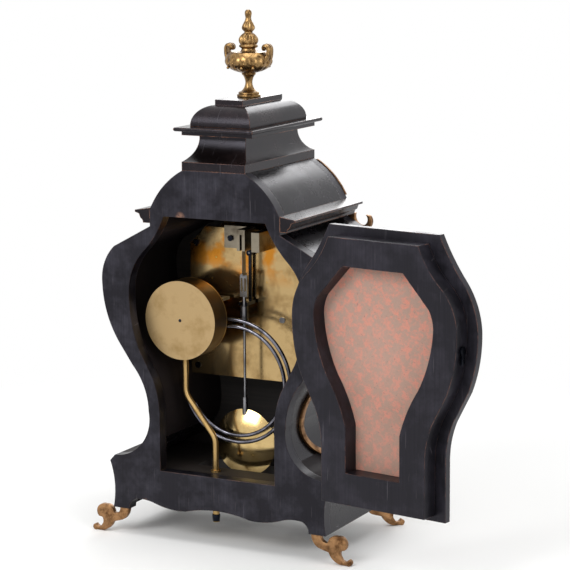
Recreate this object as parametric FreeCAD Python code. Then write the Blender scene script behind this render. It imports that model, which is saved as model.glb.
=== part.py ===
import FreeCAD, Part
import math
import os

# Bracket clock, in millimetres. +Z is up, -Y is the dial side, +Y is the back with its door,
# and X = 0 is the case's plane of symmetry. The soles of the feet stand on Z = 0.

V = FreeCAD.Vector

# ---------------------------------------------------------------- driving dimensions

# case
CASE_DEPTH = 118.0
PANEL_THICK = 10.0
WALL = 8.0
PLINTH_Z = 21.5
PLINTH_HALF = 96.0
PLINTH_DRAW = 1.6
SHOULDER_HALF = 98.5
SHOULDER_Z = 60.0
WAIST_HALF = 61.5
WAIST_Z = 104.0
BULGE_HALF = 102.6
BULGE_Z = 205.0
NECK_HALF = 57.5
NECK_Z = 253.5
ARCH_Z = 266.5
CROWN_HALF = 27.5
CROWN_Z = 299.0
APRON_RISE = 9.0
BOARD_TOP = 54.6
BOARD_THICK = 8.6
BOB_HOLE_HALF = 38.0
BLOCK_SIZE = 24.0
BLOCK_LOW = 32.0

# cartouche opening, the same in the back and the front panel
OPEN_BOTTOM = 56.5
OPEN_TOP = 262.0
OPEN_TOP_HALF = 45.0
OPEN_BULGE_HALF = 78.0
OPEN_BULGE_Z = 200.0
OPEN_WAIST_HALF = 51.5
OPEN_WAIST_Z = 103.0

# pediment
BASE_HALF = 27.8
BASE_RISE = 6.7
NECK_TOP_HALF = 20.5
NECK_RISE = 20.0
NECK_INSET = 15.5
STEP_HALF = 31.0
STEP_INSET = 6.0
STEP_RISE = 3.4
SLAB_HALF = 34.8
SLAB_OVER = 0.5
SLAB_RISE = 3.0
DOME_HALF = 26.4
DOME_INSET = 11.5
DOME_RISE = 16.0
TOP_HALF = 12.2
TOP_INSET = 26.0
TOP_RISE = 4.2

# side cornice
CORNICE_REACH = 13.5
CORNICE_Z = 256.0
CORNICE_RISE = 12.0

# brass mounts
FOOT_THICK = 4.5
FOOT_SET_IN = 6.5
FINIAL_RISE = 69.0
SCROLL_THICK = 4.0
TRIM_WIDTH = 3.0
TRIM_THICK = 1.6
RING_Y = 36.5
RING_Z = 32.0
RING_LIFT = -1.0
RING_WIDTH = 5.0
RING_BAR = 2.4
SEAT_GAP = 0.1

# back door
DOOR_LIP = 3.5
DOOR_LIP_TOP = 6.0
DOOR_LIP_BOTTOM = 1.5
DOOR_BOARD = 6.0
DOOR_FRAME = 14.5
DOOR_CLEAR = 5.5
DOOR_CLEAR_TOP = 1.0
DOOR_CLEAR_BOTTOM = 3.0
DOOR_GAP = 0.3
DOOR_OPEN = 171.2
HINGE_OUT = 0.8
WINDOW_TOP = 240.0
WINDOW_TOP_HALF = 26.5
WINDOW_CHAMFER_HALF = 48.7
WINDOW_CHAMFER_Z = 215.5
WINDOW_BULGE_HALF = 52.6
WINDOW_BULGE_Z = 199.0
WINDOW_BOTTOM = 84.0
WINDOW_BOTTOM_HALF = 24.0
CLOTH_THICK = 1.0
CLOTH_LAP = 3.0
KNUCKLE_R = 2.6
KNUCKLE_LEN = 7.0
PIN_R = 1.2
HINGE_LOW_Z = 184.0
HINGE_HIGH_Z = 208.0
LEAF_REACH = 11.0
LEAF_THICK = 1.4
LATCH_Z = 187.0

# front door
GLASS_THICK = 2.0
BEZEL_THICK = 3.4
BEZEL_IN = 5.0
FRONT_KNUCKLE_R = 1.8
FRONT_PIN_R = 0.8

# dial and hands
DIAL_R = 52.0
DIAL_Z = 190.0
DIAL_THICK = 2.4
DIAL_BOARD = 5.0
RIM_WIDTH = 5.0
HOUR_LEN = 27.0
MINUTE_LEN = 40.0

# movement
PLATE_HALF = 57.0
PLATE_LOW = 124.5
PLATE_HIGH = 246.0
PLATE_CHAMFER = 14.5
PLATE_THICK = 2.5
PLATE_BACK_Y = -3.0
PILLAR_LEN = 28.0
PILLAR_R = 3.2
BARREL_X = 27.0
BARREL_DROP = 15.2
BARREL_DRUM_R = 17.0
BARREL_TEETH = 60
PINION_TEETH = 12
WHEEL_TEETH = 48
THIRD_X = 13.0
ESCAPE_DROP = 11.3
ESCAPE_R = 8.0
ESCAPE_TEETH = 30
FLY_REACH = 8.5
ARBOR_R = 1.3
PIVOT_R = 0.8
RUN = 0.05
WINDING_R = 2.4

# pendulum
PENDULUM_Y = 11.0
PIVOT_Z = 228.0
CRUTCH_DROP = 38.0
COCK_HALF = 3.6
SLIT_HALF = 1.0
BOB_R = 27.3
BOB_HALF_THICK = 7.0
BOB_Z = 75.0
ROD_R = 1.1

# gong
DRUM_R = 31.7
DRUM_DEPTH = 20.0
DRUM_WALL = 1.2
DRUM_X = 40.5
DRUM_Z = 176.8
DRUM_FRONT_Y = 43.5
WIRE_R = 1.6
COIL_R = 50.4
COIL_STEP = 1.35
COIL_X = 3.8
STAND_R = 2.3
STAND_Y = 35.5
STAND_FOOT_X = 14.0
STAND_BEND_HIGH = 116.0
STAND_BEND_LOW = 82.0
STUD_R = 2.7
STUD_LOW = 13.5

BACK_Y = CASE_DEPTH / 2
FRONT_Y = -CASE_DEPTH / 2
INNER_BACK = BACK_Y - PANEL_THICK
INNER_FRONT = FRONT_Y + PANEL_THICK

NODES = {}


def add(name, shape):
    NODES[name] = shape


# ---------------------------------------------------------------- shape helpers

def at(x, z, y=0.0):
    return V(x, y, z)


def line(p, q):
    return Part.LineSegment(p, q).toShape()


def arc(p, m, q):
    return Part.Arc(p, m, q).toShape()


def flipped(p):
    return V(-p.x, p.y, p.z)


def symmetric_face(half):
    """Face whose outline is a chain of lines (two points) and arcs (three) on +X and its mirror image."""
    edges = []
    for points in half:
        edges.append(line(*points) if len(points) == 2 else arc(*points))
        other = [flipped(p) for p in points]
        edges.append(line(*other) if len(points) == 2 else arc(*other))
    start = half[0][0]
    end = half[-1][-1]
    if abs(start.x) > 0.001:
        edges.append(line(start, flipped(start)))
    if abs(end.x) > 0.001:
        edges.append(line(end, flipped(end)))
    return Part.Face(Part.Wire(Part.__sortEdges__(edges)))


def closed_face(chain):
    edges = [line(*points) if len(points) == 2 else arc(*points) for points in chain]
    return Part.Face(Part.Wire(Part.__sortEdges__(edges)))


def along_y(face, y0, y1):
    copy = face.copy()
    copy.translate(V(0, y0, 0))
    return copy.extrude(V(0, y1 - y0, 0))


def grown(face, by):
    return Part.Face(face.OuterWire.makeOffset2D(by, 0, False, False, True))


def box(x0, x1, y0, y1, z0, z1):
    return Part.makeBox(x1 - x0, y1 - y0, z1 - z0, V(x0, y0, z0))


def rod_y(x, z, r, y0, y1):
    return Part.makeCylinder(r, y1 - y0, V(x, y0, z), V(0, 1, 0))


def rod_z(x, y, r, z0, z1):
    return Part.makeCylinder(r, z1 - z0, V(x, y, z0))


def turned_z(profile):
    """Revolves a chain of (r, z) points or arcs about a vertical axis."""
    chain = [[V(r, 0, z) for r, z in points] for points in profile]
    start = chain[0][0]
    end = chain[-1][-1]
    if end.x > 0.001:
        chain.append([end, V(0, 0, end.z)])
        end = chain[-1][-1]
    if start.x > 0.001:
        chain.insert(0, [V(0, 0, start.z), start])
        start = chain[0][0]
    chain.append([end, start])
    return closed_face(chain).revolve(V(0, 0, 0), V(0, 0, 1), 360)


def fused(shapes):
    first = shapes[0]
    if len(shapes) > 1:
        first = first.fuse(shapes[1:])
    return first.removeSplitter()


def mirrored(shape):
    return shape.mirror(V(0, 0, 0), V(1, 0, 0))


def pair(shape):
    """The left piece and its mirror image, as two solids."""
    return Part.Compound([shape, mirrored(shape)])


# ---------------------------------------------------------------- case

def case_face():
    """The cartouche outline of the whole case, seen from the back."""
    shoulder_top = at(SHOULDER_HALF - 4.5, SHOULDER_Z + 5)
    slope_low = at(WAIST_HALF + 14, WAIST_Z + 36.4)
    slope_high = at(BULGE_HALF - 16.6, BULGE_Z - 49.5)
    bulge_top = at(BULGE_HALF - 11.6, BULGE_Z + 30.5)
    half = [
        [at(PLINTH_HALF, PLINTH_Z), at(PLINTH_HALF - PLINTH_DRAW, PLINTH_Z + 18), at(SHOULDER_HALF, SHOULDER_Z)],
        [at(SHOULDER_HALF, SHOULDER_Z), shoulder_top],
        [shoulder_top, at(WAIST_HALF + 10.3, WAIST_Z - 30.5), at(WAIST_HALF, WAIST_Z)],
        [at(WAIST_HALF, WAIST_Z), at(WAIST_HALF + 3.6, WAIST_Z + 19), slope_low],
        [slope_low, slope_high],
        [slope_high, at(BULGE_HALF - 4.4, BULGE_Z - 25.5), at(BULGE_HALF, BULGE_Z)],
        [at(BULGE_HALF, BULGE_Z), at(BULGE_HALF - 2.8, BULGE_Z + 18), bulge_top],
        [bulge_top, at(NECK_HALF, NECK_Z)],
        [at(NECK_HALF, NECK_Z), at(NECK_HALF, ARCH_Z)],
        [at(NECK_HALF, ARCH_Z), at(NECK_HALF - 12.7, ARCH_Z + 19.3), at(CROWN_HALF, CROWN_Z)],
    ]
    return symmetric_face(half)


def apron_cut():
    """What the wavy bottom edge takes out of the panels between the feet."""
    rise = PLINTH_Z + APRON_RISE
    low = PLINTH_Z + APRON_RISE * 0.45
    under = PLINTH_Z - 10
    half = [
        [at(0, rise - 1), at(18, rise - 2.6), at(29, low)],
        [at(29, low), at(42, low), at(56, rise - 2)],
        [at(56, rise - 2), at(66, rise + 0.3), at(75, rise)],
        [at(75, rise), at(79.3, rise - 3.2), at(81, PLINTH_Z)],
        [at(81, PLINTH_Z), at(81, under)],
        [at(81, under), at(0, under)],
    ]
    return symmetric_face(half)


def opening_face(side=0.0, over=0.0, under=0.0):
    """The cartouche opening, or the same shape wider by side, higher by over and lower by under."""
    top_half = OPEN_TOP_HALF + side
    bulge_half = OPEN_BULGE_HALF + side
    waist_half = OPEN_WAIST_HALF + side
    top = OPEN_TOP + over
    bottom = OPEN_BOTTOM - under
    flare = at(top_half + 20, OPEN_TOP - 30 + over / 2)
    slope_high = at(bulge_half - 8, OPEN_BULGE_Z - 45.5)
    slope_low = at(waist_half + 6, OPEN_WAIST_Z + 28)
    half = [
        [at(0, bottom), at(waist_half, bottom)],
        [at(waist_half, bottom), at(waist_half, OPEN_WAIST_Z)],
        [at(waist_half, OPEN_WAIST_Z), at(waist_half + 1.7, OPEN_WAIST_Z + 14.5), slope_low],
        [slope_low, slope_high],
        [slope_high, at(bulge_half - 1.8, OPEN_BULGE_Z - 24), at(bulge_half, OPEN_BULGE_Z)],
        [at(bulge_half, OPEN_BULGE_Z), at(bulge_half - 3.6, OPEN_BULGE_Z + 17.5), flare],
        [flare, at(top_half + 8.5, top - 16.2), at(top_half, top)],
        [at(top_half, top), at(0, top)],
    ]
    return symmetric_face(half)


def build_case(outline, opening):
    cavity = grown(outline, -WALL)
    for name, y0, y1 in (("back_panel", INNER_BACK, BACK_Y), ("front_panel", FRONT_Y, INNER_FRONT)):
        panel = along_y(outline, y0, y1).cut(along_y(opening, y0 - 1, y1 + 1))
        add(name, panel.cut(along_y(apron_cut(), y0 - 1, y1 + 1)))

    tube = along_y(outline, INNER_FRONT, INNER_BACK)
    below = box(WALL - PLINTH_HALF + PLINTH_DRAW, PLINTH_HALF - PLINTH_DRAW - WALL, INNER_FRONT - 1,
                INNER_BACK + 1, 0, SHOULDER_Z - 10)
    inside = along_y(cavity, INNER_FRONT - 1, INNER_BACK + 1)
    shell = tube.cut(inside).cut(below)
    far = BULGE_HALF + 5
    side = shell.common(box(0, far, INNER_FRONT, INNER_BACK, PLINTH_Z, NECK_Z))
    add("side_panel_left", side)
    add("side_panel_right", mirrored(side))
    add("barrel_roof", shell.common(box(-far, far, INNER_FRONT, INNER_BACK, NECK_Z, CROWN_Z + 1)))

    board = box(-far, far, INNER_FRONT, INNER_BACK, BOARD_TOP - BOARD_THICK, BOARD_TOP)
    board = board.common(inside.fuse(below))
    slot = box(-BOB_HOLE_HALF, BOB_HOLE_HALF, PENDULUM_Y - BOB_HALF_THICK - 4, PENDULUM_Y + BOB_HALF_THICK + 4,
               BOARD_TOP - BOARD_THICK - 1, BOARD_TOP + 1)
    stud = rod_z(STAND_FOOT_X, STAND_Y, STUD_R, BOARD_TOP - BOARD_THICK - 1, BOARD_TOP + 1)
    add("bottom_board", board.cut(slot).cut(stud))

    edge_x = PLINTH_HALF - PLINTH_DRAW - WALL
    blocks = []
    for sx in (-1, 1):
        for y0, y1 in ((INNER_FRONT, INNER_FRONT + BLOCK_SIZE), (INNER_BACK - BLOCK_SIZE, INNER_BACK)):
            x0, x1 = sorted((sx * edge_x, sx * (edge_x - BLOCK_SIZE)))
            blocks.append(box(x0, x1, y0, y1, BLOCK_LOW, BOARD_TOP - BOARD_THICK))
    add("corner_blocks", Part.Compound(blocks))


def build_side_cornices():
    reach = NECK_HALF + CORNICE_REACH
    top = CORNICE_Z + CORNICE_RISE
    chain = [
        [at(NECK_HALF, CORNICE_Z), at(reach - 7.2, CORNICE_Z)],
        [at(reach - 7.2, CORNICE_Z), at(reach - 6.6, CORNICE_Z + 2.4), at(reach - 5, CORNICE_Z + 3.6)],
        [at(reach - 5, CORNICE_Z + 3.6), at(reach - 3.6, CORNICE_Z + 7)],
        [at(reach - 3.6, CORNICE_Z + 7), at(reach, CORNICE_Z + 8.2)],
        [at(reach, CORNICE_Z + 8.2), at(reach, CORNICE_Z + 9.8)],
        [at(reach, CORNICE_Z + 9.8), at(NECK_HALF, top)],
        [at(NECK_HALF, top), at(NECK_HALF, CORNICE_Z)],
    ]
    cornice = along_y(closed_face(chain), FRONT_Y, BACK_Y)
    add("side_cornices", pair(cornice))


# ---------------------------------------------------------------- pediment

def two_way(x_half, y_half):
    """Moulding with mitred corners: one profile along Y met by the same kind of profile along X."""
    run_y = along_y(symmetric_face(x_half), FRONT_Y - 20, BACK_Y + 20)
    across = symmetric_face(y_half)
    across.rotate(V(0, 0, 0), V(0, 0, 1), 90)
    across.translate(V(-150, 0, 0))
    return run_y.common(across.extrude(V(300, 0, 0)))


def build_pediment():
    z0 = CROWN_Z
    z1 = z0 + BASE_RISE
    z2 = z1 + NECK_RISE
    z3 = z2 + STEP_RISE
    z4 = z3 + SLAB_RISE
    z5 = z4 + DOME_RISE
    z6 = z5 + TOP_RISE

    def neck(base, top):
        sag = at(top + (base - top) * 0.22, z1 + NECK_RISE * 0.42)
        return [[at(base, z0), at(base, z1)],
                [at(base, z1), sag, at(top, z2 - 3)],
                [at(top, z2 - 3), at(top, z2)]]

    depth = BACK_Y
    add("pediment_neck", two_way(neck(BASE_HALF, NECK_TOP_HALF), neck(depth, depth - NECK_INSET)))

    def slab(step, edge):
        return [[at(step, z2), at(step, z3)],
                [at(step, z3), at(edge - 1.4, z3)],
                [at(edge - 1.4, z3), at(edge, z3 + SLAB_RISE * 0.45), at(edge - 0.6, z4)]]

    add("pediment_cornice", two_way(slab(STEP_HALF, SLAB_HALF), slab(depth - STEP_INSET, depth + SLAB_OVER)))

    def dome(foot, top):
        crown = at(foot - (foot - top) * 0.24, z4 + DOME_RISE * 0.66)
        return [[at(foot, z4), crown, at(top + 1, z5)]]

    cap = two_way(dome(DOME_HALF, TOP_HALF), dome(depth - DOME_INSET, depth - TOP_INSET))
    platform = box(-TOP_HALF, TOP_HALF, TOP_INSET - depth, depth - TOP_INSET, z5, z6)
    add("pediment_cap", fused([cap, platform]))
    return z6


# ---------------------------------------------------------------- brass mounts

def build_finial(z):
    """Urn finial turned in one profile, with two leaf heads on its rim."""
    profile = [
        [(9.6, z), (9.6, z + 1.6)],
        [(9.6, z + 1.6), (8.6, z + 3.4), (6.6, z + 4.4)],
        [(6.6, z + 4.4), (3.4, z + 8), (3.0, z + 13)],
        [(3.0, z + 13), (3.4, z + 18), (5.6, z + 20)],
        [(5.6, z + 20), (13.5, z + 22.6), (18.4, z + 30)],
        [(18.4, z + 30), (18.8, z + 34.6), (15.6, z + 37.4)],
        [(15.6, z + 37.4), (9, z + 36)],
        [(9, z + 36), (6, z + 38.4)],
        [(6, z + 38.4), (7.7, z + 43), (5.2, z + 50)],
        [(5.2, z + 50), (4, z + 53.4)],
        [(4, z + 53.4), (4.6, z + 56.8), (3, z + 60)],
        [(3, z + 60), (2.5, z + 62), (2.6, z + 63.4)],
        [(2.6, z + 63.4), (2.9, z + 63.4)],
        [(2.9, z + 63.4), (2.6, z + FINIAL_RISE)],
    ]
    urn = turned_z(profile)
    leaves = []
    for side in (-1, 1):
        chain = [
            [at(side * 13, z + 33), at(side * 19, z + 36), at(side * 20, z + 43)],
            [at(side * 20, z + 43), at(side * 18, z + 46), at(side * 15.4, z + 43.4)],
            [at(side * 15.4, z + 43.4), at(side * 14.6, z + 39), at(side * 10, z + 36)],
            [at(side * 10, z + 36), at(side * 13, z + 33)],
        ]
        leaves.append(along_y(closed_face(chain), -3.2, 3.2))
    add("finial", fused([urn] + leaves))


def foot_face():
    """Flat cast scroll: stem under the plinth, scroll head outside it, toe curling out on the floor."""
    x = PLINTH_HALF
    top = PLINTH_Z
    chain = [
        [at(x - 5.2, top), at(x - 13.4, top)],
        [at(x - 13.4, top), at(x - 11.5, 15), at(x - 7.5, 11.2)],
        [at(x - 7.5, 11.2), at(x - 2.5, 9.6), at(x + 1.6, 8.6)],
        [at(x + 1.6, 8.6), at(x + 5.2, 3.2), at(x + 11.5, 0)],
        [at(x + 11.5, 0), at(x + 17, 0)],
        [at(x + 17, 0), at(x + 21, 2.4), at(x + 18.4, 4.6)],
        [at(x + 18.4, 4.6), at(x + 15.6, 2.6), at(x + 12.3, 5)],
        [at(x + 12.3, 5), at(x + 11, 8.2), at(x + 12, 11)],
        [at(x + 12, 11), at(x + 15.2, 11.6)],
        [at(x + 15.2, 11.6), at(x + 16.2, 18.8), at(x + 9, 22)],
        [at(x + 9, 22), at(x + 3.4, 20.8), at(x + 0.9, 16)],
        [at(x + 0.9, 16), at(x - 0.8, 15.8), at(x - 5.2, top)],
    ]
    return closed_face(chain)


def build_feet():
    plate = foot_face()
    back = along_y(plate, BACK_Y - 1 - FOOT_THICK, BACK_Y - 1)
    add("back_feet", pair(back))
    front = along_y(plate, -FOOT_THICK / 2, FOOT_THICK / 2)
    front.translate(V(-PLINTH_HALF, 0, 0))
    front.rotate(V(0, 0, 0), V(0, 0, 1), -45)
    front.translate(V(PLINTH_HALF - FOOT_SET_IN, FRONT_Y + FOOT_SET_IN, 0))
    over = box(0, PLINTH_HALF, FRONT_Y, BACK_Y, PLINTH_Z, PLINTH_Z + FOOT_SET_IN)
    add("front_feet", pair(front.cut(over)))


def build_mounts(outline):
    strip = grown(outline, 0.6)
    inner = grown(outline, -TRIM_WIDTH)
    trim = along_y(strip, FRONT_Y - TRIM_THICK, FRONT_Y).cut(along_y(inner, FRONT_Y - 5, FRONT_Y + 1))
    arch_box = box(-SHOULDER_HALF, SHOULDER_HALF, FRONT_Y - TRIM_THICK, FRONT_Y, ARCH_Z + 4, CROWN_Z - 1)
    cut_top = box(-BASE_HALF, BASE_HALF, FRONT_Y - 5, FRONT_Y + 1, ARCH_Z, CROWN_Z + 5)
    add("arch_trim", trim.common(arch_box).cut(cut_top))

    # oval ring laid on the hollow of each side at the waist, as thick as its bar all round
    seat = along_y(grown(outline, SEAT_GAP), -RING_Y - 2, RING_Y + 2)
    skin = along_y(grown(outline, RING_BAR), -RING_Y - 1, RING_Y + 1).cut(seat)
    ring = oval_prism(RING_Y, RING_Z).cut(oval_prism(RING_Y - RING_WIDTH, RING_Z - RING_WIDTH))
    ring = ring.common(skin).common(box(0, BULGE_HALF, -CASE_DEPTH, CASE_DEPTH, 0, NECK_Z))
    add("waist_mounts", pair(ring))
    add("corner_mounts", pair(corner_scroll()))


def oval_prism(half_y, half_z):
    """Upright oval of four arcs, run out along X across the hollow of the side."""
    z = WAIST_Z + RING_LIFT
    d = 0.7071
    corners = [V(WAIST_HALF - 5, half_y, z), V(WAIST_HALF - 5, 0, z + half_z),
               V(WAIST_HALF - 5, -half_y, z), V(WAIST_HALF - 5, 0, z - half_z)]
    edges = []
    for i, p in enumerate(corners):
        q = corners[(i + 1) % 4]
        m = V(p.x, d * (p.y + q.y), z + d * (p.z + q.z - 2 * z))
        edges.append(arc(p, m, q))
    return Part.Face(Part.Wire(edges)).extrude(V(BULGE_HALF, 0, 0))


def corner_scroll():
    """Scroll under the front end of the side cornice, curling out to a hook."""
    x = NECK_HALF
    z = CORNICE_Z
    chain = [
        [at(x, z), at(x + 6.5, z)],
        [at(x + 6.5, z), at(x + 7.2, z - 6.5), at(x + 12, z - 9.6)],
        [at(x + 12, z - 9.6), at(x + 17.2, z - 7), at(x + 16, z - 1)],
        [at(x + 16, z - 1), at(x + 19.4, z - 1.6)],
        [at(x + 19.4, z - 1.6), at(x + 20.6, z - 9), at(x + 13, z - 13.5)],
        [at(x + 13, z - 13.5), at(x + 6, z - 12.6), at(x + 2.6, z - 8)],
        [at(x + 2.6, z - 8), at(x, z - 3)],
        [at(x, z - 3), at(x, z)],
    ]
    return along_y(closed_face(chain), FRONT_Y - SCROLL_THICK, FRONT_Y)


# ---------------------------------------------------------------- back door

def window_face():
    slope = at(WINDOW_BOTTOM_HALF + 16, WINDOW_BULGE_Z - 44)
    waist = at(WINDOW_BOTTOM_HALF, WINDOW_BULGE_Z - 80)
    half = [
        [at(0, WINDOW_BOTTOM), at(WINDOW_BOTTOM_HALF, WINDOW_BOTTOM)],
        [at(WINDOW_BOTTOM_HALF, WINDOW_BOTTOM), waist],
        [waist, at(WINDOW_BOTTOM_HALF + 6.2, WINDOW_BULGE_Z - 62), slope],
        [slope, at(WINDOW_BULGE_HALF - 3.4, WINDOW_BULGE_Z - 20.5), at(WINDOW_BULGE_HALF, WINDOW_BULGE_Z)],
        [at(WINDOW_BULGE_HALF, WINDOW_BULGE_Z), at(WINDOW_BULGE_HALF - 0.8, WINDOW_BULGE_Z + 9),
         at(WINDOW_CHAMFER_HALF, WINDOW_CHAMFER_Z)],
        [at(WINDOW_CHAMFER_HALF, WINDOW_CHAMFER_Z), at(WINDOW_TOP_HALF, WINDOW_TOP)],
        [at(WINDOW_TOP_HALF, WINDOW_TOP), at(0, WINDOW_TOP)],
    ]
    return symmetric_face(half)


def door_axis():
    """Hinge line of the back door: just outside the opening, level with the board's outer face."""
    x = -(OPEN_BULGE_HALF + HINGE_OUT)
    y = BACK_Y + DOOR_GAP + DOOR_BOARD
    return x, y


def build_back_door():
    window = window_face()
    lip = opening_face(DOOR_LIP, DOOR_LIP_TOP, DOOR_LIP_BOTTOM)
    y0 = BACK_Y + DOOR_GAP
    ax, ay = door_axis()
    board = along_y(lip, y0, y0 + DOOR_BOARD).cut(along_y(grown(window, -CLOTH_LAP), y0 - 1, y0 + DOOR_BOARD + 1))
    # the edge is planed straight where the knuckles stand, so that the board clears the case as it swings
    board = board.common(box(ax + DOOR_GAP, BULGE_HALF, y0, y0 + DOOR_BOARD, 0, CROWN_Z))
    frame = along_y(opening_face(-DOOR_CLEAR, -DOOR_CLEAR_TOP, -DOOR_CLEAR_BOTTOM), y0 - DOOR_FRAME, y0)
    frame = frame.cut(along_y(window, y0 - DOOR_FRAME - 1, y0 + 1))
    cloth = along_y(grown(window, -0.2), y0 - CLOTH_THICK, y0)

    arms = []
    for z in (HINGE_LOW_Z, HINGE_HIGH_Z):
        notch = rod_z(ax, ay, KNUCKLE_R + DOOR_GAP, z - KNUCKLE_LEN - 2 * DOOR_GAP, z + KNUCKLE_LEN + DOOR_GAP)
        board = board.cut(notch)
        knuckle = rod_z(ax, ay, KNUCKLE_R, z, z + KNUCKLE_LEN)
        leaf = box(ax, ax + LEAF_REACH, ay, ay + LEAF_THICK, z, z + KNUCKLE_LEN)
        arms.append(knuckle.fuse(leaf).cut(rod_z(ax, ay, PIN_R + RUN, z - 1, z + KNUCKLE_LEN + 1)))
    door_hinges = Part.Compound([a.removeSplitter() for a in arms])

    case_arms = []
    for z in (HINGE_LOW_Z, HINGE_HIGH_Z):
        low = z - KNUCKLE_LEN - DOOR_GAP
        pin = rod_z(ax, ay, PIN_R, low, z + KNUCKLE_LEN)
        knuckle = rod_z(ax, ay, KNUCKLE_R, low, low + KNUCKLE_LEN)
        strap = box(ax - 1.2, ax + 0.2, BACK_Y, ay, low, low + KNUCKLE_LEN)
        leaf = box(ax - LEAF_REACH, ax, BACK_Y, BACK_Y + LEAF_THICK, low, low + KNUCKLE_LEN)
        case_arms.append(fused([pin, knuckle, strap, leaf]))
    add("door_hinge_case", Part.Compound(case_arms))

    latch_x = OPEN_BULGE_HALF - DOOR_CLEAR
    screw_y = y0 - DOOR_FRAME / 2
    latch = Part.makeCylinder(3.4, 1.6, V(latch_x, screw_y, LATCH_Z), V(1, 0, 0))
    tongue = box(latch_x, latch_x + 1.6, screw_y - 2, screw_y + 2, LATCH_Z - 10, LATCH_Z)
    latch = fused([latch, tongue])

    turned = {"door_board": board, "door_frame": frame, "door_cloth": cloth,
              "door_hinge_leaves": door_hinges, "door_catch": latch}
    for name, shape in turned.items():
        opened = shape.copy()
        opened.rotate(V(ax, ay, 0), V(0, 0, 1), DOOR_OPEN)
        add(name, opened)


# ---------------------------------------------------------------- front door and dial

def build_front(outline, opening):
    y0 = FRONT_Y - DOOR_GAP
    ring = along_y(grown(opening, DOOR_LIP), y0 - BEZEL_THICK, y0)
    ring = ring.cut(along_y(grown(opening, -BEZEL_IN), y0 - BEZEL_THICK - 1, y0 + 1))
    seat = grown(opening, -BEZEL_IN + 2.5)
    ring = ring.cut(along_y(seat, y0 - GLASS_THICK, y0 + 1))
    ax = -(OPEN_BULGE_HALF + DOOR_LIP + FRONT_KNUCKLE_R + DOOR_GAP)
    ay = y0 - BEZEL_THICK
    pins = [ring]
    sockets = []
    for z in (OPEN_BULGE_Z - 14, OPEN_BULGE_Z + 4):
        arm = box(ax, ax + 6, ay, ay + 2, z, z + 8)
        knuckle = rod_z(ax, ay, FRONT_KNUCKLE_R, z, z + 8)
        pins.append(arm.fuse(knuckle).cut(rod_z(ax, ay, FRONT_PIN_R + RUN, z - 1, z + 9)))
        low = z - 8 - DOOR_GAP
        pin = rod_z(ax, ay, FRONT_PIN_R, low, z + 8)
        socket = rod_z(ax, ay, FRONT_KNUCKLE_R, low, low + 8)
        strap = box(ax - 1, ax + 1, ay, FRONT_Y, low, low + 8)
        sockets.append(fused([pin, socket, strap]))
    add("front_door_frame", fused(pins))
    add("front_door_hinges", Part.Compound(sockets))
    add("front_glass", along_y(grown(seat, -0.1), y0 - GLASS_THICK, y0))

    board = along_y(grown(outline, -WALL - SEAT_GAP), INNER_FRONT, INNER_FRONT + DIAL_BOARD)
    board = board.common(box(-BULGE_HALF, BULGE_HALF, INNER_FRONT, INNER_FRONT + DIAL_BOARD,
                             BOARD_TOP, OPEN_TOP + 5))
    board = board.cut(rod_y(0, DIAL_Z, 8, INNER_FRONT - 1, INNER_FRONT + DIAL_BOARD + 1))
    dial = rod_y(0, DIAL_Z, DIAL_R, INNER_FRONT - DIAL_THICK, INNER_FRONT)
    dial = dial.cut(rod_y(0, DIAL_Z, 4.6, INNER_FRONT - DIAL_THICK - 1, INNER_FRONT + 1))
    for sx in (-1, 1):
        hole = rod_y(sx * BARREL_X, DIAL_Z - BARREL_DROP, WINDING_R + 1.2, INNER_FRONT - DIAL_THICK - 1,
                     INNER_FRONT + DIAL_BOARD + 1)
        board = board.cut(hole)
        dial = dial.cut(hole)
    add("dial_board", board)
    add("dial", dial)
    rim = rod_y(0, DIAL_Z, DIAL_R + RIM_WIDTH, INNER_FRONT - DIAL_THICK - 1.6, INNER_FRONT)
    rim = rim.cut(rod_y(0, DIAL_Z, DIAL_R, INNER_FRONT - 10, INNER_FRONT + 1))
    add("dial_rim", rim)


# ---------------------------------------------------------------- movement

def gear(x, z, teeth, module, y0, y1, toward, phase=0.0):
    """Toothed wheel about an axis along Y; one tooth, moved on by phase pitches, points at `toward`."""
    pitch = 2 * math.pi / teeth
    start = math.atan2(toward[1] - z, toward[0] - x) + phase * pitch
    tip = module * (teeth / 2 + 0.8)
    root = module * (teeth / 2 - 1.15)
    points = []
    for i in range(teeth):
        mid = start + i * pitch
        for angle, radius in ((-0.29, root), (-0.1, tip), (0.1, tip), (0.29, root)):
            a = mid + angle * pitch
            points.append(at(x + radius * math.cos(a), z + radius * math.sin(a), y0))
    points.append(points[0])
    return Part.Face(Part.makePolygon(points)).extrude(V(0, y1 - y0, 0))


def crossed(wheel, x, z, outer, inner, y0, y1, arms=4):
    """Cuts the windows between the arms of a wheel."""
    windows = rod_y(x, z, outer, y0 - 1, y1 + 1).cut(rod_y(x, z, inner, y0 - 1, y1 + 1))
    for i in range(arms // 2):
        bar = box(-outer - 1, outer + 1, y0 - 1, y1 + 1, -0.8, 0.8)
        bar.rotate(V(0, 0, 0), V(0, 1, 0), 180.0 * i / (arms / 2))
        bar.translate(V(x, 0, z))
        windows = windows.cut(bar)
    return wheel.cut(windows)


def arbor(x, z, y0, y1, r=ARBOR_R):
    """Shaft between the plates with a thinner pivot at each end, running through the plates."""
    return rod_y(x, z, r, y0, y1).fuse(rod_y(x, z, PIVOT_R, y0 - PLATE_THICK, y1 + PLATE_THICK))


def plate_face():
    half = [
        [at(0, PLATE_LOW), at(PLATE_HALF, PLATE_LOW)],
        [at(PLATE_HALF, PLATE_LOW), at(PLATE_HALF, PLATE_HIGH - PLATE_CHAMFER)],
        [at(PLATE_HALF, PLATE_HIGH - PLATE_CHAMFER), at(PLATE_HALF - PLATE_CHAMFER, PLATE_HIGH)],
        [at(PLATE_HALF - PLATE_CHAMFER, PLATE_HIGH), at(0, PLATE_HIGH)],
    ]
    return symmetric_face(half)


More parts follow.
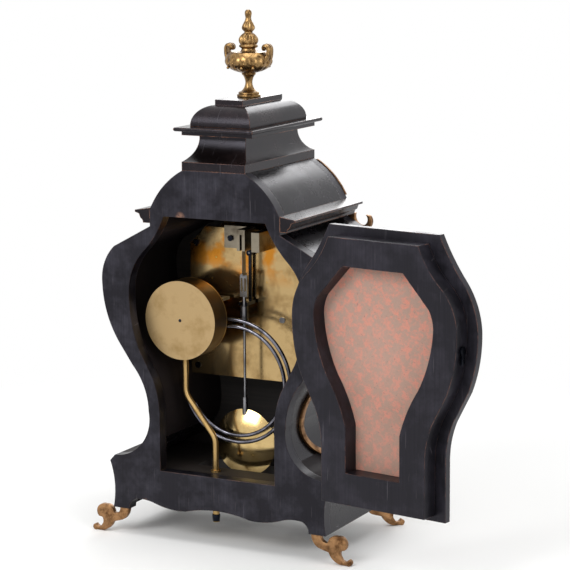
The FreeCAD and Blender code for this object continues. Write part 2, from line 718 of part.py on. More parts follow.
BACK_PLATE = (PLATE_BACK_Y - PLATE_THICK, PLATE_BACK_Y)
FRONT_PLATE = (BACK_PLATE[0] - PILLAR_LEN - PLATE_THICK, BACK_PLATE[0] - PILLAR_LEN)
GAP = (FRONT_PLATE[1], BACK_PLATE[0])

CENTRE = (0.0, DIAL_Z)
GOING = (-BARREL_X, DIAL_Z - BARREL_DROP)
STRIKE = (BARREL_X, DIAL_Z - BARREL_DROP)
ESCAPE = (0.0, PIVOT_Z - ESCAPE_DROP)
THIRD = (-THIRD_X, ESCAPE[1] - 12.45)
STRIKE_SECOND = (BARREL_X + 10.0, DIAL_Z + 14.1)
FLY = (BARREL_X + 6.0, DIAL_Z + 31.6)
HAMMER = (52.5, DIAL_Z)
MINUTE = (9.6, DIAL_Z - 7.2)

# the two great wheels lie at opposite ends of their drums, so each meets only its own pinion
GREAT_THICK = 2.2
GOING_GREAT_Y = GAP[1] - 1.0 - GREAT_THICK
STRIKE_GREAT_Y = GAP[0] + 6.8


def mesh_module(a, b, teeth_sum):
    return 2 * math.hypot(a[0] - b[0], a[1] - b[1]) / teeth_sum


def build_plates():
    holes = [(p, PIVOT_R + RUN) for p in (THIRD, ESCAPE, STRIKE_SECOND, FLY, HAMMER, (0, PIVOT_Z))]
    back = along_y(plate_face(), *BACK_PLATE)
    front = along_y(plate_face(), *FRONT_PLATE)
    for (x, z), r in holes + [(CENTRE, PIVOT_R + RUN), (GOING, WINDING_R + RUN), (STRIKE, WINDING_R + RUN)]:
        back = back.cut(rod_y(x, z, r, BACK_PLATE[0] - 1, BACK_PLATE[1] + 1))
    for (x, z), r in holes + [(CENTRE, ARBOR_R + RUN), (GOING, WINDING_R + RUN), (STRIKE, WINDING_R + RUN)]:
        front = front.cut(rod_y(x, z, r, FRONT_PLATE[0] - 1, FRONT_PLATE[1] + 1))
    stud = rod_y(MINUTE[0], MINUTE[1], 1.0, FRONT_PLATE[0] - 5, FRONT_PLATE[1])
    add("front_plate", front.fuse(stud))
    add("back_plate", back)

    posts = []
    screws = []
    for sx in (-1, 1):
        for z in (PLATE_LOW + 7, PLATE_HIGH - PLATE_CHAMFER + 1):
            x = sx * (PLATE_HALF - 6.5)
            posts.append(rod_y(x, z, PILLAR_R, GAP[0], GAP[1]))
            screws.append(rod_y(x, z, 2.6, BACK_PLATE[1], BACK_PLATE[1] + 1.6))
            posts.append(rod_y(x, z, PILLAR_R, INNER_FRONT + DIAL_BOARD, FRONT_PLATE[0]))
    add("plate_pillars", Part.Compound(posts))
    return screws


def barrel(centre, partner, wheel_y, name, arbor_name):
    """Spring barrel with its great wheel, turning on a winding arbor with a square end."""
    x, z = centre
    module = mesh_module(centre, partner, BARREL_TEETH + PINION_TEETH)
    wheel = gear(x, z, BARREL_TEETH, module, wheel_y, wheel_y + GREAT_THICK, partner)
    drum = rod_y(x, z, BARREL_DRUM_R, STRIKE_GREAT_Y + GREAT_THICK, GOING_GREAT_Y)
    body = wheel.fuse(drum).cut(rod_y(x, z, WINDING_R + RUN, GAP[0], GAP[1] + 1)).removeSplitter()
    add(name, body)
    shaft = rod_y(x, z, WINDING_R, FRONT_PLATE[0] - 1.5, BACK_PLATE[1] + 1)
    side = WINDING_R * 1.3
    square = box(x - side / 2, x + side / 2, INNER_FRONT - DIAL_THICK - 1.0, FRONT_PLATE[0] - 1.5,
                 z - side / 2, z + side / 2)
    add(arbor_name, fused([shaft, square]))


def build_train():
    barrel(GOING, CENTRE, GOING_GREAT_Y, "going_barrel", "going_winding_arbor")
    barrel(STRIKE, STRIKE_SECOND, STRIKE_GREAT_Y, "strike_barrel", "strike_winding_arbor")

    # centre arbor: its pinion is driven by the going barrel's wheel
    great_y = GOING_GREAT_Y
    wheel_y = GAP[0] + 1.2
    pinion = gear(0, DIAL_Z, PINION_TEETH, mesh_module(GOING, CENTRE, BARREL_TEETH + PINION_TEETH),
                  great_y - 0.4, great_y + 2.6, GOING, 0.5)
    module = mesh_module(CENTRE, THIRD, WHEEL_TEETH + PINION_TEETH)
    wheel = gear(0, DIAL_Z, WHEEL_TEETH, module, wheel_y, wheel_y + 1.4, THIRD)
    rim = module * (WHEEL_TEETH / 2 - 1.15) - 2.2
    wheel = crossed(wheel, 0, DIAL_Z, rim, 4.2, wheel_y, wheel_y + 1.4)
    shaft = rod_y(0, DIAL_Z, ARBOR_R, INNER_FRONT - DIAL_THICK - 6.6, GAP[1])
    tail = rod_y(0, DIAL_Z, PIVOT_R, GAP[1], BACK_PLATE[1])
    add("centre_arbor", fused([pinion, wheel, shaft, tail]))

    # third arbor
    third_y = GAP[1] - 8.2
    pinion = gear(THIRD[0], THIRD[1], PINION_TEETH, module, wheel_y - 0.5, wheel_y + 2.0, CENTRE, 0.5)
    module = mesh_module(THIRD, ESCAPE, WHEEL_TEETH + PINION_TEETH)
    wheel = gear(THIRD[0], THIRD[1], WHEEL_TEETH, module, third_y, third_y + 1.2, ESCAPE)
    rim = module * (WHEEL_TEETH / 2 - 1.15) - 2.0
    wheel = crossed(wheel, THIRD[0], THIRD[1], rim, 3.6, third_y, third_y + 1.2)
    add("third_wheel", fused([pinion, wheel, arbor(THIRD[0], THIRD[1], *GAP)]))

    # escape arbor: pointed teeth
    pinion = gear(ESCAPE[0], ESCAPE[1], PINION_TEETH, module, third_y - 0.5, third_y + 1.7, THIRD, 0.5)
    escape_y = GAP[1] - 15
    points = []
    for i in range(ESCAPE_TEETH):
        a = 2 * math.pi * i / ESCAPE_TEETH
        b = a + 0.55 * 2 * math.pi / ESCAPE_TEETH
        points.append(at(ESCAPE_R * math.cos(a), ESCAPE_R * math.sin(a), escape_y))
        points.append(at((ESCAPE_R - 1.6) * math.cos(b), (ESCAPE_R - 1.6) * math.sin(b), escape_y))
    points.append(points[0])
    wheel = Part.Face(Part.makePolygon(points)).extrude(V(0, 1.0, 0))
    wheel.translate(V(ESCAPE[0], 0, ESCAPE[1]))
    add("escape_wheel", fused([pinion, wheel, arbor(ESCAPE[0], ESCAPE[1], *GAP)]))
    return escape_y


def build_escapement(escape_y):
    """Anchor above the escape wheel, and the crutch that steers the pendulum."""
    px, pz = 0.0, PIVOT_Z
    arm = ESCAPE_R + 0.55
    chain = [
        [at(-arm, pz - 7.4), at(-arm - 1.6, pz - 6.6)],
        [at(-arm - 1.6, pz - 6.6), at(-7.2, pz - 0.6), at(0, pz + 2.4)],
        [at(0, pz + 2.4), at(7.2, pz - 0.6), at(arm + 1.6, pz - 6.6)],
        [at(arm + 1.6, pz - 6.6), at(arm, pz - 7.4)],
        [at(arm, pz - 7.4), at(5.8, pz - 1.9), at(0, pz - 0.9)],
        [at(0, pz - 0.9), at(-5.8, pz - 1.9), at(-arm, pz - 7.4)],
    ]
    anchor = along_y(closed_face(chain), escape_y - 0.3, escape_y + 1.3)
    shaft = arbor(px, pz, *GAP)
    tail = rod_y(px, pz, PIVOT_R, BACK_PLATE[1], BACK_PLATE[1] + 5.5)
    add("pallets", fused([anchor, shaft, tail]))
    rear = BACK_PLATE[1] + 2.5
    drop = CRUTCH_DROP
    bar = box(-1.1, 1.1, rear, rear + 2.0, pz - drop, pz + 2)
    boss = rod_y(px, pz, 2.6, rear, rear + 3.0)
    fork = box(-3.8, 3.8, rear, PENDULUM_Y - ROD_R - 1.6, pz - drop - 3, pz - drop)
    prongs = [box(s * 3.0 - 0.8, s * 3.0 + 0.8, rear, PENDULUM_Y + ROD_R + 1.0, pz - drop - 3, pz - drop)
              for s in (-1, 1)]
    crutch = fused([bar, boss, fork] + prongs).cut(rod_y(px, pz, PIVOT_R, rear - 1, rear + 6))
    add("crutch", crutch)


def build_suspension(screws):
    """Cock on the back plate that holds the pendulum's spring between two cheeks."""
    y0 = BACK_PLATE[1]
    z0 = PIVOT_Z + 3.4
    z1 = z0 + 17.0
    base = box(3.0, 24.0, y0, y0 + 2.4, z0 - 1.0, z1)
    block = box(-COCK_HALF, COCK_HALF, y0, PENDULUM_Y + 5, z0, z1)
    slit = box(-SLIT_HALF, SLIT_HALF, PENDULUM_Y - 4, PENDULUM_Y + 6, z0 - 1, z1 - 4)
    other = box(-15.5, -8.5, y0, PENDULUM_Y + 3, z0 - 0.6, z1 - 2)
    bridge = box(-15.5, 0, y0, y0 + 4, z0 + 3, z1 - 4)
    add("suspension_cock", fused([base, block, other, bridge]).cut(slit))
    add("movement_screws", Part.Compound(screws + [rod_y(18.0, z0 + 7, 2.4, y0 + 2.4, y0 + 4.2)]))

    spring = box(-0.1, 0.1, PENDULUM_Y - 3, PENDULUM_Y + 3, PIVOT_Z - 16, z0 + 4)
    cheek = Part.makeCylinder(1.0, 8.0, V(0, PENDULUM_Y - 4, PIVOT_Z - 16), V(0, 1, 0))
    add("suspension_spring", fused([spring, cheek]))


def build_pendulum():
    y = PENDULUM_Y
    top = PIVOT_Z - 16.5
    rod_low = BOB_Z - BOB_R - 6
    cyl_top = PIVOT_Z - 40.6
    rod = rod_z(0, y, ROD_R, rod_low, cyl_top)
    sleeve = rod_z(0, y, 2.3, BOB_Z + BOB_R - 8, BOB_Z + BOB_R + 10)
    # brass hook with two slots, its steel neck and the regulating cylinder
    plate = box(-3.1, 3.1, y - 1.2, y + 1.2, top - 17.5, top)
    for s in (-1, 1):
        plate = plate.cut(box(s * 1.55 - 0.75, s * 1.55 + 0.75, y - 2, y + 2, top - 13, top - 2.5))
    neck = rod_z(0, y, 1.6, cyl_top - 2, top - 17.5)
    cylinder = rod_z(0, y, 3.1, cyl_top - 14, cyl_top - 1)
    hook = fused([plate, neck, cylinder]).cut(rod_z(0, y, ROD_R, cyl_top - 20, cyl_top))
    hook = hook.cut(rod_y(0, PIVOT_Z - 16, 1.0, y - 4, y + 4))
    add("pendulum_rod", Part.Compound([fused([rod, sleeve]), hook]))

    lens_r = (BOB_R ** 2 + BOB_HALF_THICK ** 2) / (2 * BOB_HALF_THICK)
    front = Part.makeSphere(lens_r, V(0, y + BOB_HALF_THICK - lens_r, BOB_Z))
    back = Part.makeSphere(lens_r, V(0, y - BOB_HALF_THICK + lens_r, BOB_Z))
    bob = front.common(back)
    bob = bob.cut(rod_z(0, y, ROD_R, BOB_Z - 40, BOB_Z + 40)).cut(rod_z(0, y, 2.3, BOB_Z + BOB_R - 8, BOB_Z + 60))
    add("pendulum_bob", bob)
    nut = rod_z(0, y, 3.6, rod_low + 1.5, BOB_Z - BOB_R - 0.4).cut(rod_z(0, y, ROD_R + RUN, rod_low, BOB_Z))
    add("rating_nut", nut)


def build_motion_work():
    y1 = FRONT_PLATE[0] - 0.6
    module = mesh_module(CENTRE, MINUTE, 12 + 36)
    small = mesh_module(CENTRE, MINUTE, 12 + 48)
    cannon = gear(0, DIAL_Z, 12, module, y1 - 1.6, y1, MINUTE, 0.5)
    pipe = rod_y(0, DIAL_Z, 2.2, INNER_FRONT - DIAL_THICK - 5.0, y1)
    bore = rod_y(0, DIAL_Z, ARBOR_R, INNER_FRONT - 20, y1 + 1)
    add("cannon_pinion", fused([cannon, pipe]).cut(bore))

    wheel = gear(MINUTE[0], MINUTE[1], 36, module, y1 - 1.2, y1, CENTRE)
    leaf = gear(MINUTE[0], MINUTE[1], 12, small, y1 - 4.0, y1 - 1.2, CENTRE, 0.5)
    hole = rod_y(MINUTE[0], MINUTE[1], 1.0 + RUN, y1 - 8, y1 + 1)
    add("minute_wheel", fused([wheel, leaf]).cut(hole))

    hour = gear(0, DIAL_Z, 48, small, y1 - 3.8, y1 - 2.4, MINUTE)
    tube = rod_y(0, DIAL_Z, 3.6, INNER_FRONT - DIAL_THICK - 2.6, y1 - 2.4)
    bore = rod_y(0, DIAL_Z, 2.2 + RUN, INNER_FRONT - 20, y1)
    add("hour_wheel", fused([hour, tube]).cut(bore))


def hand(length, width, y0, y1, boss, bore, angle):
    chain = [
        [at(-0.7, 0), at(-width, length * 0.55), at(-0.5, length * 0.74)],
        [at(-0.5, length * 0.74), at(0, length)],
        [at(0, length), at(0.5, length * 0.74)],
        [at(0.5, length * 0.74), at(width, length * 0.55), at(0.7, 0)],
        [at(0.7, 0), at(-0.7, 0)],
    ]
    blade = along_y(closed_face(chain), y0, y1)
    piece = blade.fuse(rod_y(0, 0, boss, y0, y1)).cut(rod_y(0, 0, bore, y0 - 1, y1 + 1)).removeSplitter()
    piece.rotate(V(0, 0, 0), V(0, 1, 0), angle)
    piece.translate(V(0, 0, DIAL_Z))
    return piece


def build_hands():
    face = INNER_FRONT - DIAL_THICK
    add("hour_hand", hand(HOUR_LEN, 4.2, face - 2.6, face - 1.8, 5.0, 3.6, 60))
    minute = hand(MINUTE_LEN, 2.8, face - 4.8, face - 4.0, 3.8, 2.2, -120)
    nut = rod_y(0, DIAL_Z, 2.4, face - 6.2, face - 5.0).cut(rod_y(0, DIAL_Z, ARBOR_R, face - 9, face))
    add("minute_hand", Part.Compound([minute, nut]))


def build_strike():
    """Strike train: second wheel, fly and the hammer that reaches behind the gong drum."""
    great_y = STRIKE_GREAT_Y
    wheel_y = GAP[0] + 1.2
    x, z = STRIKE_SECOND
    module = mesh_module(STRIKE, STRIKE_SECOND, BARREL_TEETH + PINION_TEETH)
    pinion = gear(x, z, PINION_TEETH, module, great_y - 0.4, great_y + 2.6, STRIKE, 0.5)
    module = mesh_module(STRIKE_SECOND, FLY, WHEEL_TEETH + PINION_TEETH)
    wheel = gear(x, z, WHEEL_TEETH, module, wheel_y, wheel_y + 1.4, FLY)
    rim = module * (WHEEL_TEETH / 2 - 1.15) - 2.0
    wheel = crossed(wheel, x, z, rim, 3.6, wheel_y, wheel_y + 1.4)
    add("strike_wheel", fused([pinion, wheel, arbor(x, z, *GAP)]))

    x, z = FLY
    pinion = gear(x, z, PINION_TEETH, module, wheel_y - 0.5, wheel_y + 2.0, STRIKE_SECOND, 0.5)
    vane = box(x - FLY_REACH, x + FLY_REACH, GAP[1] - 20, GAP[1] - 7, z - 0.4, z + 0.4)
    add("fly", fused([pinion, vane, arbor(x, z, *GAP)]))

    x, z = HAMMER
    rear = BACK_PLATE[1] + 3
    wire_y = DRUM_FRONT_Y - DRUM_DEPTH - WIRE_R - 0.5
    head_z = DRUM_Z + WIRE_R + 2.0
    shaft = arbor(x, z, *GAP)
    tail = rod_y(x, z, PIVOT_R, BACK_PLATE[1], rear + 3)
    boss = rod_y(x, z, 2.4, rear, rear + 3)
    arm = box(20, x, rear + 0.6, rear + 2.4, z - 1.2, z + 1.2)
    reach = box(19, 23, rear + 0.6, wire_y + 1.6, z - 1.2, z + 1.2)
    head = rod_z(21, wire_y, 1.8, head_z, z + 2)
    lift = box(x - 9, x, GAP[1] - 10, GAP[1] - 8.8, z - 0.8, z + 0.8)
    add("hammer", fused([shaft, tail, boss, arm, reach, head, lift]))


# ---------------------------------------------------------------- gong

def coil_path(y):
    """Planar spiral of quarter turns, from the hub over the top and inwards."""
    points = []
    x, z = COIL_X, DRUM_Z
    start = V(DRUM_X - 6.0, y, z)
    edges = [line(start, V(x, y, z))]
    heading = math.pi
    radius = COIL_R
    here = V(x, y, z)
    turns = [90] * 6 + [58]
    for degrees in turns:
        sweep = math.radians(degrees)
        centre = V(here.x + radius * math.cos(heading + math.pi / 2), y,
                   here.z + radius * math.sin(heading + math.pi / 2))
        a0 = heading - math.pi / 2
        mid = a0 + sweep / 2
        end = a0 + sweep
        m = V(centre.x + radius * math.cos(mid), y, centre.z + radius * math.sin(mid))
        e = V(centre.x + radius * math.cos(end), y, centre.z + radius * math.sin(end))
        edges.append(arc(here, m, e))
        points.append((centre, radius, a0, end))
        here = e
        heading += sweep
        radius -= COIL_STEP
    tail = V(here.x + 2 * WIRE_R * math.cos(heading), y, here.z + 2 * WIRE_R * math.sin(heading))
    edges.append(line(here, tail))
    return Part.Wire(edges), points


def coil_gap(arcs):
    """Least free gap of the wire to itself, on points of turns that lie half a turn or more apart."""
    samples = []
    turned = 0.0
    for centre, radius, a0, a1 in arcs:
        steps = 12
        for i in range(steps):
            a = a0 + (a1 - a0) * i / steps
            samples.append((turned + a - a0, centre.x + radius * math.cos(a), centre.z + radius * math.sin(a)))
        turned += a1 - a0
    least = min(math.hypot(p[1] - q[1], p[2] - q[2]) for p in samples for q in samples
                if q[0] - p[0] > math.pi)
    return least - 2 * WIRE_R


def build_gong():
    x, z = DRUM_X, DRUM_Z
    front = DRUM_FRONT_Y
    rear = front - DRUM_DEPTH
    cup = rod_y(x, z, DRUM_R, rear + DRUM_WALL, front)
    cup = cup.cut(rod_y(x, z, DRUM_R - DRUM_WALL, rear, front - DRUM_WALL))
    add("gong_drum", cup)
    wire_y = rear - WIRE_R - 0.5
    cover = rod_y(x, z, DRUM_R, rear, rear + DRUM_WALL)
    post = rod_y(x, z, 3.0, wire_y - 4, front - DRUM_WALL)
    hub = rod_y(x, z, 6.0, wire_y - 3, rear)
    flat = box(x - 6.5, x - 5.9, wire_y - 4, wire_y + 4, z - 7, z + 7)
    add("gong_hub", fused([cover, post, hub]).cut(flat))

    path, arcs = coil_path(wire_y)
    start = path.Edges[0].Vertexes[0].Point
    section = Part.Wire([Part.Circle(start, V(1, 0, 0), WIRE_R).toShape()])
    shell = Part.BRepOffsetAPI.MakePipeShell(path)
    shell.add(section)
    shell.build()
    shell.makeSolid()
    coil = shell.shape()
    print("gong coil: least gap to itself %.2f mm, volume %.1f against %.1f" %
          (coil_gap(arcs), coil.Volume, math.pi * WIRE_R ** 2 * path.Length))
    add("gong_coil", coil)

    # stand: bent brass rod from the drum's rim down to its collar on the bottom board
    p1 = V(x, STAND_Y, STAND_BEND_HIGH)
    p2 = V(STAND_FOOT_X, STAND_Y, STAND_BEND_LOW)
    foot = V(STAND_FOOT_X, STAND_Y, BOARD_TOP)
    stand = bent_rod([V(x, STAND_Y, z - DRUM_R + 0.2), p1, p2, foot], STAND_R, 14.0)
    collar = rod_z(STAND_FOOT_X, STAND_Y, 4.0, BOARD_TOP, BOARD_TOP + 1.6)
    stud = rod_z(STAND_FOOT_X, STAND_Y, STUD_R, STUD_LOW, BOARD_TOP)
    stand = fused([stand, collar, stud])
    stand = stand.cut(rod_y(x, z, DRUM_R, rear - 1, front + 1))
    under = BOARD_TOP - BOARD_THICK
    nut = Part.Face(Part.makePolygon([V(STAND_FOOT_X + 5.2 * math.cos(math.radians(60 * i)),
                                        STAND_Y + 5.2 * math.sin(math.radians(60 * i)), under - 5)
                                      for i in range(7)])).extrude(V(0, 0, 5))
    nut = nut.cut(rod_z(STAND_FOOT_X, STAND_Y, STUD_R, under - 6, under + 1))
    add("gong_stand", Part.Compound([stand, nut]))


def bent_rod(points, r, bend):
    """Round rod along straight runs joined by tangent arcs of one bend radius."""
    edges = []
    here = points[0]
    for i in range(1, len(points) - 1):
        p = points[i]
        before = (p - points[i - 1]).normalize()
        after = (points[i + 1] - p).normalize()
        turn = math.acos(max(-1.0, min(1.0, before.dot(after))))
        reach = bend * math.tan(turn / 2)
        a = p - before * reach
        b = p + after * reach
        to_centre = (after - before).normalize()
        centre = p + to_centre * (bend / math.cos(turn / 2))
        m = centre - to_centre * bend
        edges.append(line(here, a))
        edges.append(arc(a, m, b))
        here = b
    edges.append(line(here, points[-1]))
    path = Part.Wire(edges)
    section = Part.Wire([Part.Circle(points[0], points[1] - points[0], r).toShape()])
    shell = Part.BRepOffsetAPI.MakePipeShell(path)
    shell.add(section)
    shell.build()
    shell.makeSolid()
    return shell.shape()


# ---------------------------------------------------------------- assembly

def main():
    outline = case_face()
    opening = opening_face()
    build_case(outline, opening)
    build_side_cornices()
    top = build_pediment()
    build_finial(top)
    build_feet()
    build_mounts(outline)
    build_back_door()
    build_front(outline, opening)
    screws = build_plates()
    escape_y = build_train()
    build_escapement(escape_y)
    build_suspension(screws)
    build_pendulum()
    build_motion_work()
    build_hands()
    build_strike()
    build_gong()

    os.makedirs("parts", exist_ok=True)
    for name, shape in NODES.items():
        shape.exportStep("parts/%s.step" % name)
        print("%-24s solids %d valid %s volume %.0f" % (name, len(shape.Solids), shape.isValid(), shape.Volume))
    print(len(NODES), "nodes")


main()
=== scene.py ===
import math

import bmesh
import bpy
from mathutils import Matrix, Vector, noise


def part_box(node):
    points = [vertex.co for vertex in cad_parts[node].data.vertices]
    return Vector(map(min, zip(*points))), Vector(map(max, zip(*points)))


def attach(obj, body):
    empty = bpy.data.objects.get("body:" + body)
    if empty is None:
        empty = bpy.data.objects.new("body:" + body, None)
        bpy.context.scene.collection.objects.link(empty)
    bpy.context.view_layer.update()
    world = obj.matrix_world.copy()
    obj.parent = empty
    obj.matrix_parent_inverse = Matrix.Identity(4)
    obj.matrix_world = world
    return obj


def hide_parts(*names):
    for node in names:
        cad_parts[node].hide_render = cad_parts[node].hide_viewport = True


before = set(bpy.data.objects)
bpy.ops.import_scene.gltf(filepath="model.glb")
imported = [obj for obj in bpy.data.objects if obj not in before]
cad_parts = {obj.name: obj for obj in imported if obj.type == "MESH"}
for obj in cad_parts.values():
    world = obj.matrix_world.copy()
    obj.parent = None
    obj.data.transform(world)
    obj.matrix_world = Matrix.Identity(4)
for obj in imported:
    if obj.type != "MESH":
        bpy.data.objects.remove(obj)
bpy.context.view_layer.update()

MM = 0.001

# the angle at which the back door stands open
DOOR_ANGLE = math.radians(171.2)
# the dial's middle and face, and how far its print stands off it
DIAL_Z = 190 * MM
DIAL_FACE_Y = -51.4 * MM
PAINT = 0.03 * MM
# the middle of the hollow of the case, which its hidden faces look toward
CASE_MIDDLE = (0, 0, 170 * MM)
# the damask's two repeats, its threads and the squares that its mesh is cut into
LATTICE = (("X", 16.5 * MM), ("Z", 17.5 * MM))
THREAD_PITCH = 0.9 * MM
CLOTH_SQUARE = 6 * MM


# ---------------------------------------------------------------- nodes and colours

def rgb(code):
    """sRGB hex to linear."""
    parts = [int(code[i:i + 2], 16) / 255 for i in (0, 2, 4)]
    return (*[c / 12.92 if c <= 0.04045 else ((c + 0.055) / 1.055) ** 2.4 for c in parts], 1.0)


def add(tree, kind, settings=None, inputs=None):
    """Adds a node. Settings are its properties, inputs its socket values or the outputs that feed them."""
    made = tree.nodes.new(kind)
    for key, value in (settings or {}).items():
        setattr(made, key, value)
    for key, value in (inputs or {}).items():
        if isinstance(value, bpy.types.NodeSocket):
            tree.links.new(value, made.inputs[key])
        else:
            made.inputs[key].default_value = value
    return made


def blank(name):
    mat = bpy.data.materials.new(name)
    mat.use_nodes = True
    mat.node_tree.nodes.clear()
    return mat, mat.node_tree


def finished(tree, shader):
    add(tree, "ShaderNodeOutputMaterial", None, {"Surface": shader.outputs[0]})


def object_place(tree):
    return add(tree, "ShaderNodeTexCoord").outputs["Object"]


def drawn_out(tree, vector, scale):
    """Coordinates scaled along each axis, for a pattern that runs one way."""
    return add(tree, "ShaderNodeMapping", None, {"Vector": vector, "Scale": scale}).outputs[0]


def mottled(tree, vector, pitch, detail, roughness=0.5):
    """Noise whose spots are about as large as the pitch."""
    inputs = {"Vector": vector, "Scale": 1 / pitch, "Detail": detail, "Roughness": roughness}
    return add(tree, "ShaderNodeTexNoise", None, inputs).outputs["Fac"]


def ranged(tree, value, low, high, to_low, to_high):
    """Maps low..high of a value to to_low..to_high, held at both ends."""
    inputs = {"Value": value, "From Min": low, "From Max": high, "To Min": to_low, "To Max": to_high}
    return add(tree, "ShaderNodeMapRange", None, inputs).outputs[0]


def mixed(tree, share, first, second, blend="MIX"):
    return add(tree, "ShaderNodeMix", {"data_type": "RGBA", "blend_type": blend},
               {0: share, 6: first, 7: second}).outputs[2]


def reckoned(tree, operation, first, second=0.0):
    return add(tree, "ShaderNodeMath", {"operation": operation}, {0: first, 1: second}).outputs[0]


def product(tree, first, second):
    return reckoned(tree, "MULTIPLY", first, second)


def on_vectors(tree, operation, first, second):
    """Both outputs of a sum on two vectors."""
    return add(tree, "ShaderNodeVectorMath", {"operation": operation}, {0: first, 1: second}).outputs


def bumped(tree, height, strength, depth):
    return add(tree, "ShaderNodeBump", None,
               {"Height": height, "Strength": strength, "Distance": depth}).outputs[0]


# ---------------------------------------------------------------- finishes

def ebonised_wood(name, grain_scale, dark, pale, worn, rub, roughness, hidden=None, bare=()):
    """Fruitwood stained black and french polished: closed fine grain, satin gloss, pale bluish patches of
    painted sheen that stand for the polish's reflections, and the brown wood showing through along rubbed
    edges and in the bare spots. Faces that look toward the hidden middle, measured along the weighted axes,
    were left stained and dull."""
    mat, t = blank(name)
    place = object_place(t)
    shape = add(t, "ShaderNodeNewGeometry").outputs
    grain = mottled(t, drawn_out(t, place, grain_scale), 1.0, 3.0)
    # painted sheen: pale bluish patches of about 30 mm that stand for the polish's reflections; the same
    # patches make the polish duller
    painted_sheen_and_dull_patches = mottled(t, place, 30 * MM, 5.0, 0.66)
    body = mixed(t, ranged(t, painted_sheen_and_dull_patches, 0.44, 0.7, 0.0, 1.0), rgb(dark), rgb(pale))
    body = mixed(t, 1.0, body, ranged(t, grain, 0.35, 0.7, 0.72, 1.2), "MULTIPLY")
    # rubbed edges, about a millimetre wide, broken up by noise of 6 mm and thinned over longer stretches
    soft = add(t, "ShaderNodeBevel", {"samples": 6}, {"Radius": 1.0 * MM}).outputs[0]
    turn = on_vectors(t, "DOT_PRODUCT", soft, shape["True Normal"])["Value"]
    edge = ranged(t, turn, 0.985, 0.86, 0.0, 1.0)
    patch = mottled(t, place, 6 * MM, 5.0, 0.7)
    stretch = mottled(t, place, 42 * MM, 2.0)
    broken = product(t, ranged(t, patch, 0.62 - rub * 0.3, 0.72 - rub * 0.2, 0.0, rub),
                     ranged(t, stretch, 0.42, 0.6, 0.12, 1.0))
    mask = product(t, edge, broken)
    for spot, radius in bare:
        away = on_vectors(t, "DISTANCE", place, [c * MM for c in spot])["Value"]
        near = ranged(t, away, radius * MM, radius * 0.25 * MM, 0.0, 1.0)
        worn_through = product(t, near, ranged(t, patch, 0.4, 0.56, 0.0, 1.0))
        mask = reckoned(t, "MAXIMUM", mask, worn_through)
    colour = mixed(t, mask, body, rgb(worn))
    # hairline scratches on the slant: the peaks of a noise 0.6 mm wide and 30 mm long
    slant = add(t, "ShaderNodeMapping", None,
                {"Vector": place, "Rotation": (0.5, 0.9, 0.3),
                 "Scale": (1 / 0.0006, 1 / 0.03, 1 / 0.03)}).outputs[0]
    hair = mottled(t, slant, 1.0, 1.0)
    colour = mixed(t, ranged(t, hair, 0.735, 0.76, 0.0, 0.35), colour, rgb("6f6b70"))
    dull = ranged(t, painted_sheen_and_dull_patches, 0.35, 0.75, roughness - 0.06, roughness + 0.12)
    if hidden:
        outward = on_vectors(t, "SUBTRACT", place, CASE_MIDDLE)["Vector"]
        outward = on_vectors(t, "MULTIPLY", outward, hidden)["Vector"]
        facing = on_vectors(t, "DOT_PRODUCT", outward, shape["True Normal"])["Value"]
        inside = ranged(t, facing, -8 * MM, -12 * MM, 0.0, 1.0)
        colour = mixed(t, inside, colour, mixed(t, grain, rgb("100c0a"), rgb("1f1815")))
        dull = add(t, "ShaderNodeMix", {"data_type": "FLOAT"}, {0: inside, 2: dull, 3: 0.75}).outputs[0]
    bump = add(t, "ShaderNodeBump", None,
               {"Height": grain, "Strength": 0.12, "Distance": 0.05 * MM, "Normal": soft}).outputs[0]
    shader = add(t, "ShaderNodeBsdfPrincipled", None,
                 {"Base Color": colour, "Roughness": dull, "Normal": bump, "Specular IOR Level": 0.3,
                  "Specular Tint": rgb("dcd8ea"), "Coat Weight": 0.05, "Coat Roughness": 0.2})
    finished(t, shader)
    return mat


def stained_board(name, colour, pale):
    """Pine board stained dark and left dull inside the case, with open grain along its length."""
    mat, t = blank(name)
    grain = mottled(t, drawn_out(t, object_place(t), (1 / 0.09, 1 / 0.0014, 1 / 0.0014)), 1.0, 4.0)
    shade = mixed(t, ranged(t, grain, 0.35, 0.68, 0.0, 1.0), rgb(colour), rgb(pale))
    shader = add(t, "ShaderNodeBsdfPrincipled", None,
                 {"Base Color": shade, "Roughness": 0.62, "Normal": bumped(t, grain, 0.12, 0.05 * MM)})
    finished(t, shader)
    return mat


def cast_brass(name, bright, dark, patch, roughness):
    """Brass cast in sand, chased and lacquered long ago: warm tone, oxide in patches, fine pitting."""
    mat, t = blank(name)
    place = object_place(t)
    stain = mottled(t, place, patch, 6.0, 0.65)
    shade = mixed(t, ranged(t, stain, 0.4, 0.66, 0.0, 1.0), rgb(bright), rgb(dark))
    rough = ranged(t, stain, 0.4, 0.7, roughness, roughness + 0.2)
    # sand grit of 0.5 mm
    grit = mottled(t, place, 0.5 * MM, 2.0)
    shader = add(t, "ShaderNodeBsdfPrincipled", None,
                 {"Base Color": shade, "Roughness": rough, "Normal": bumped(t, grit, 0.25, 0.08 * MM),
                  "Metallic": 1.0})
    finished(t, shader)
    return mat


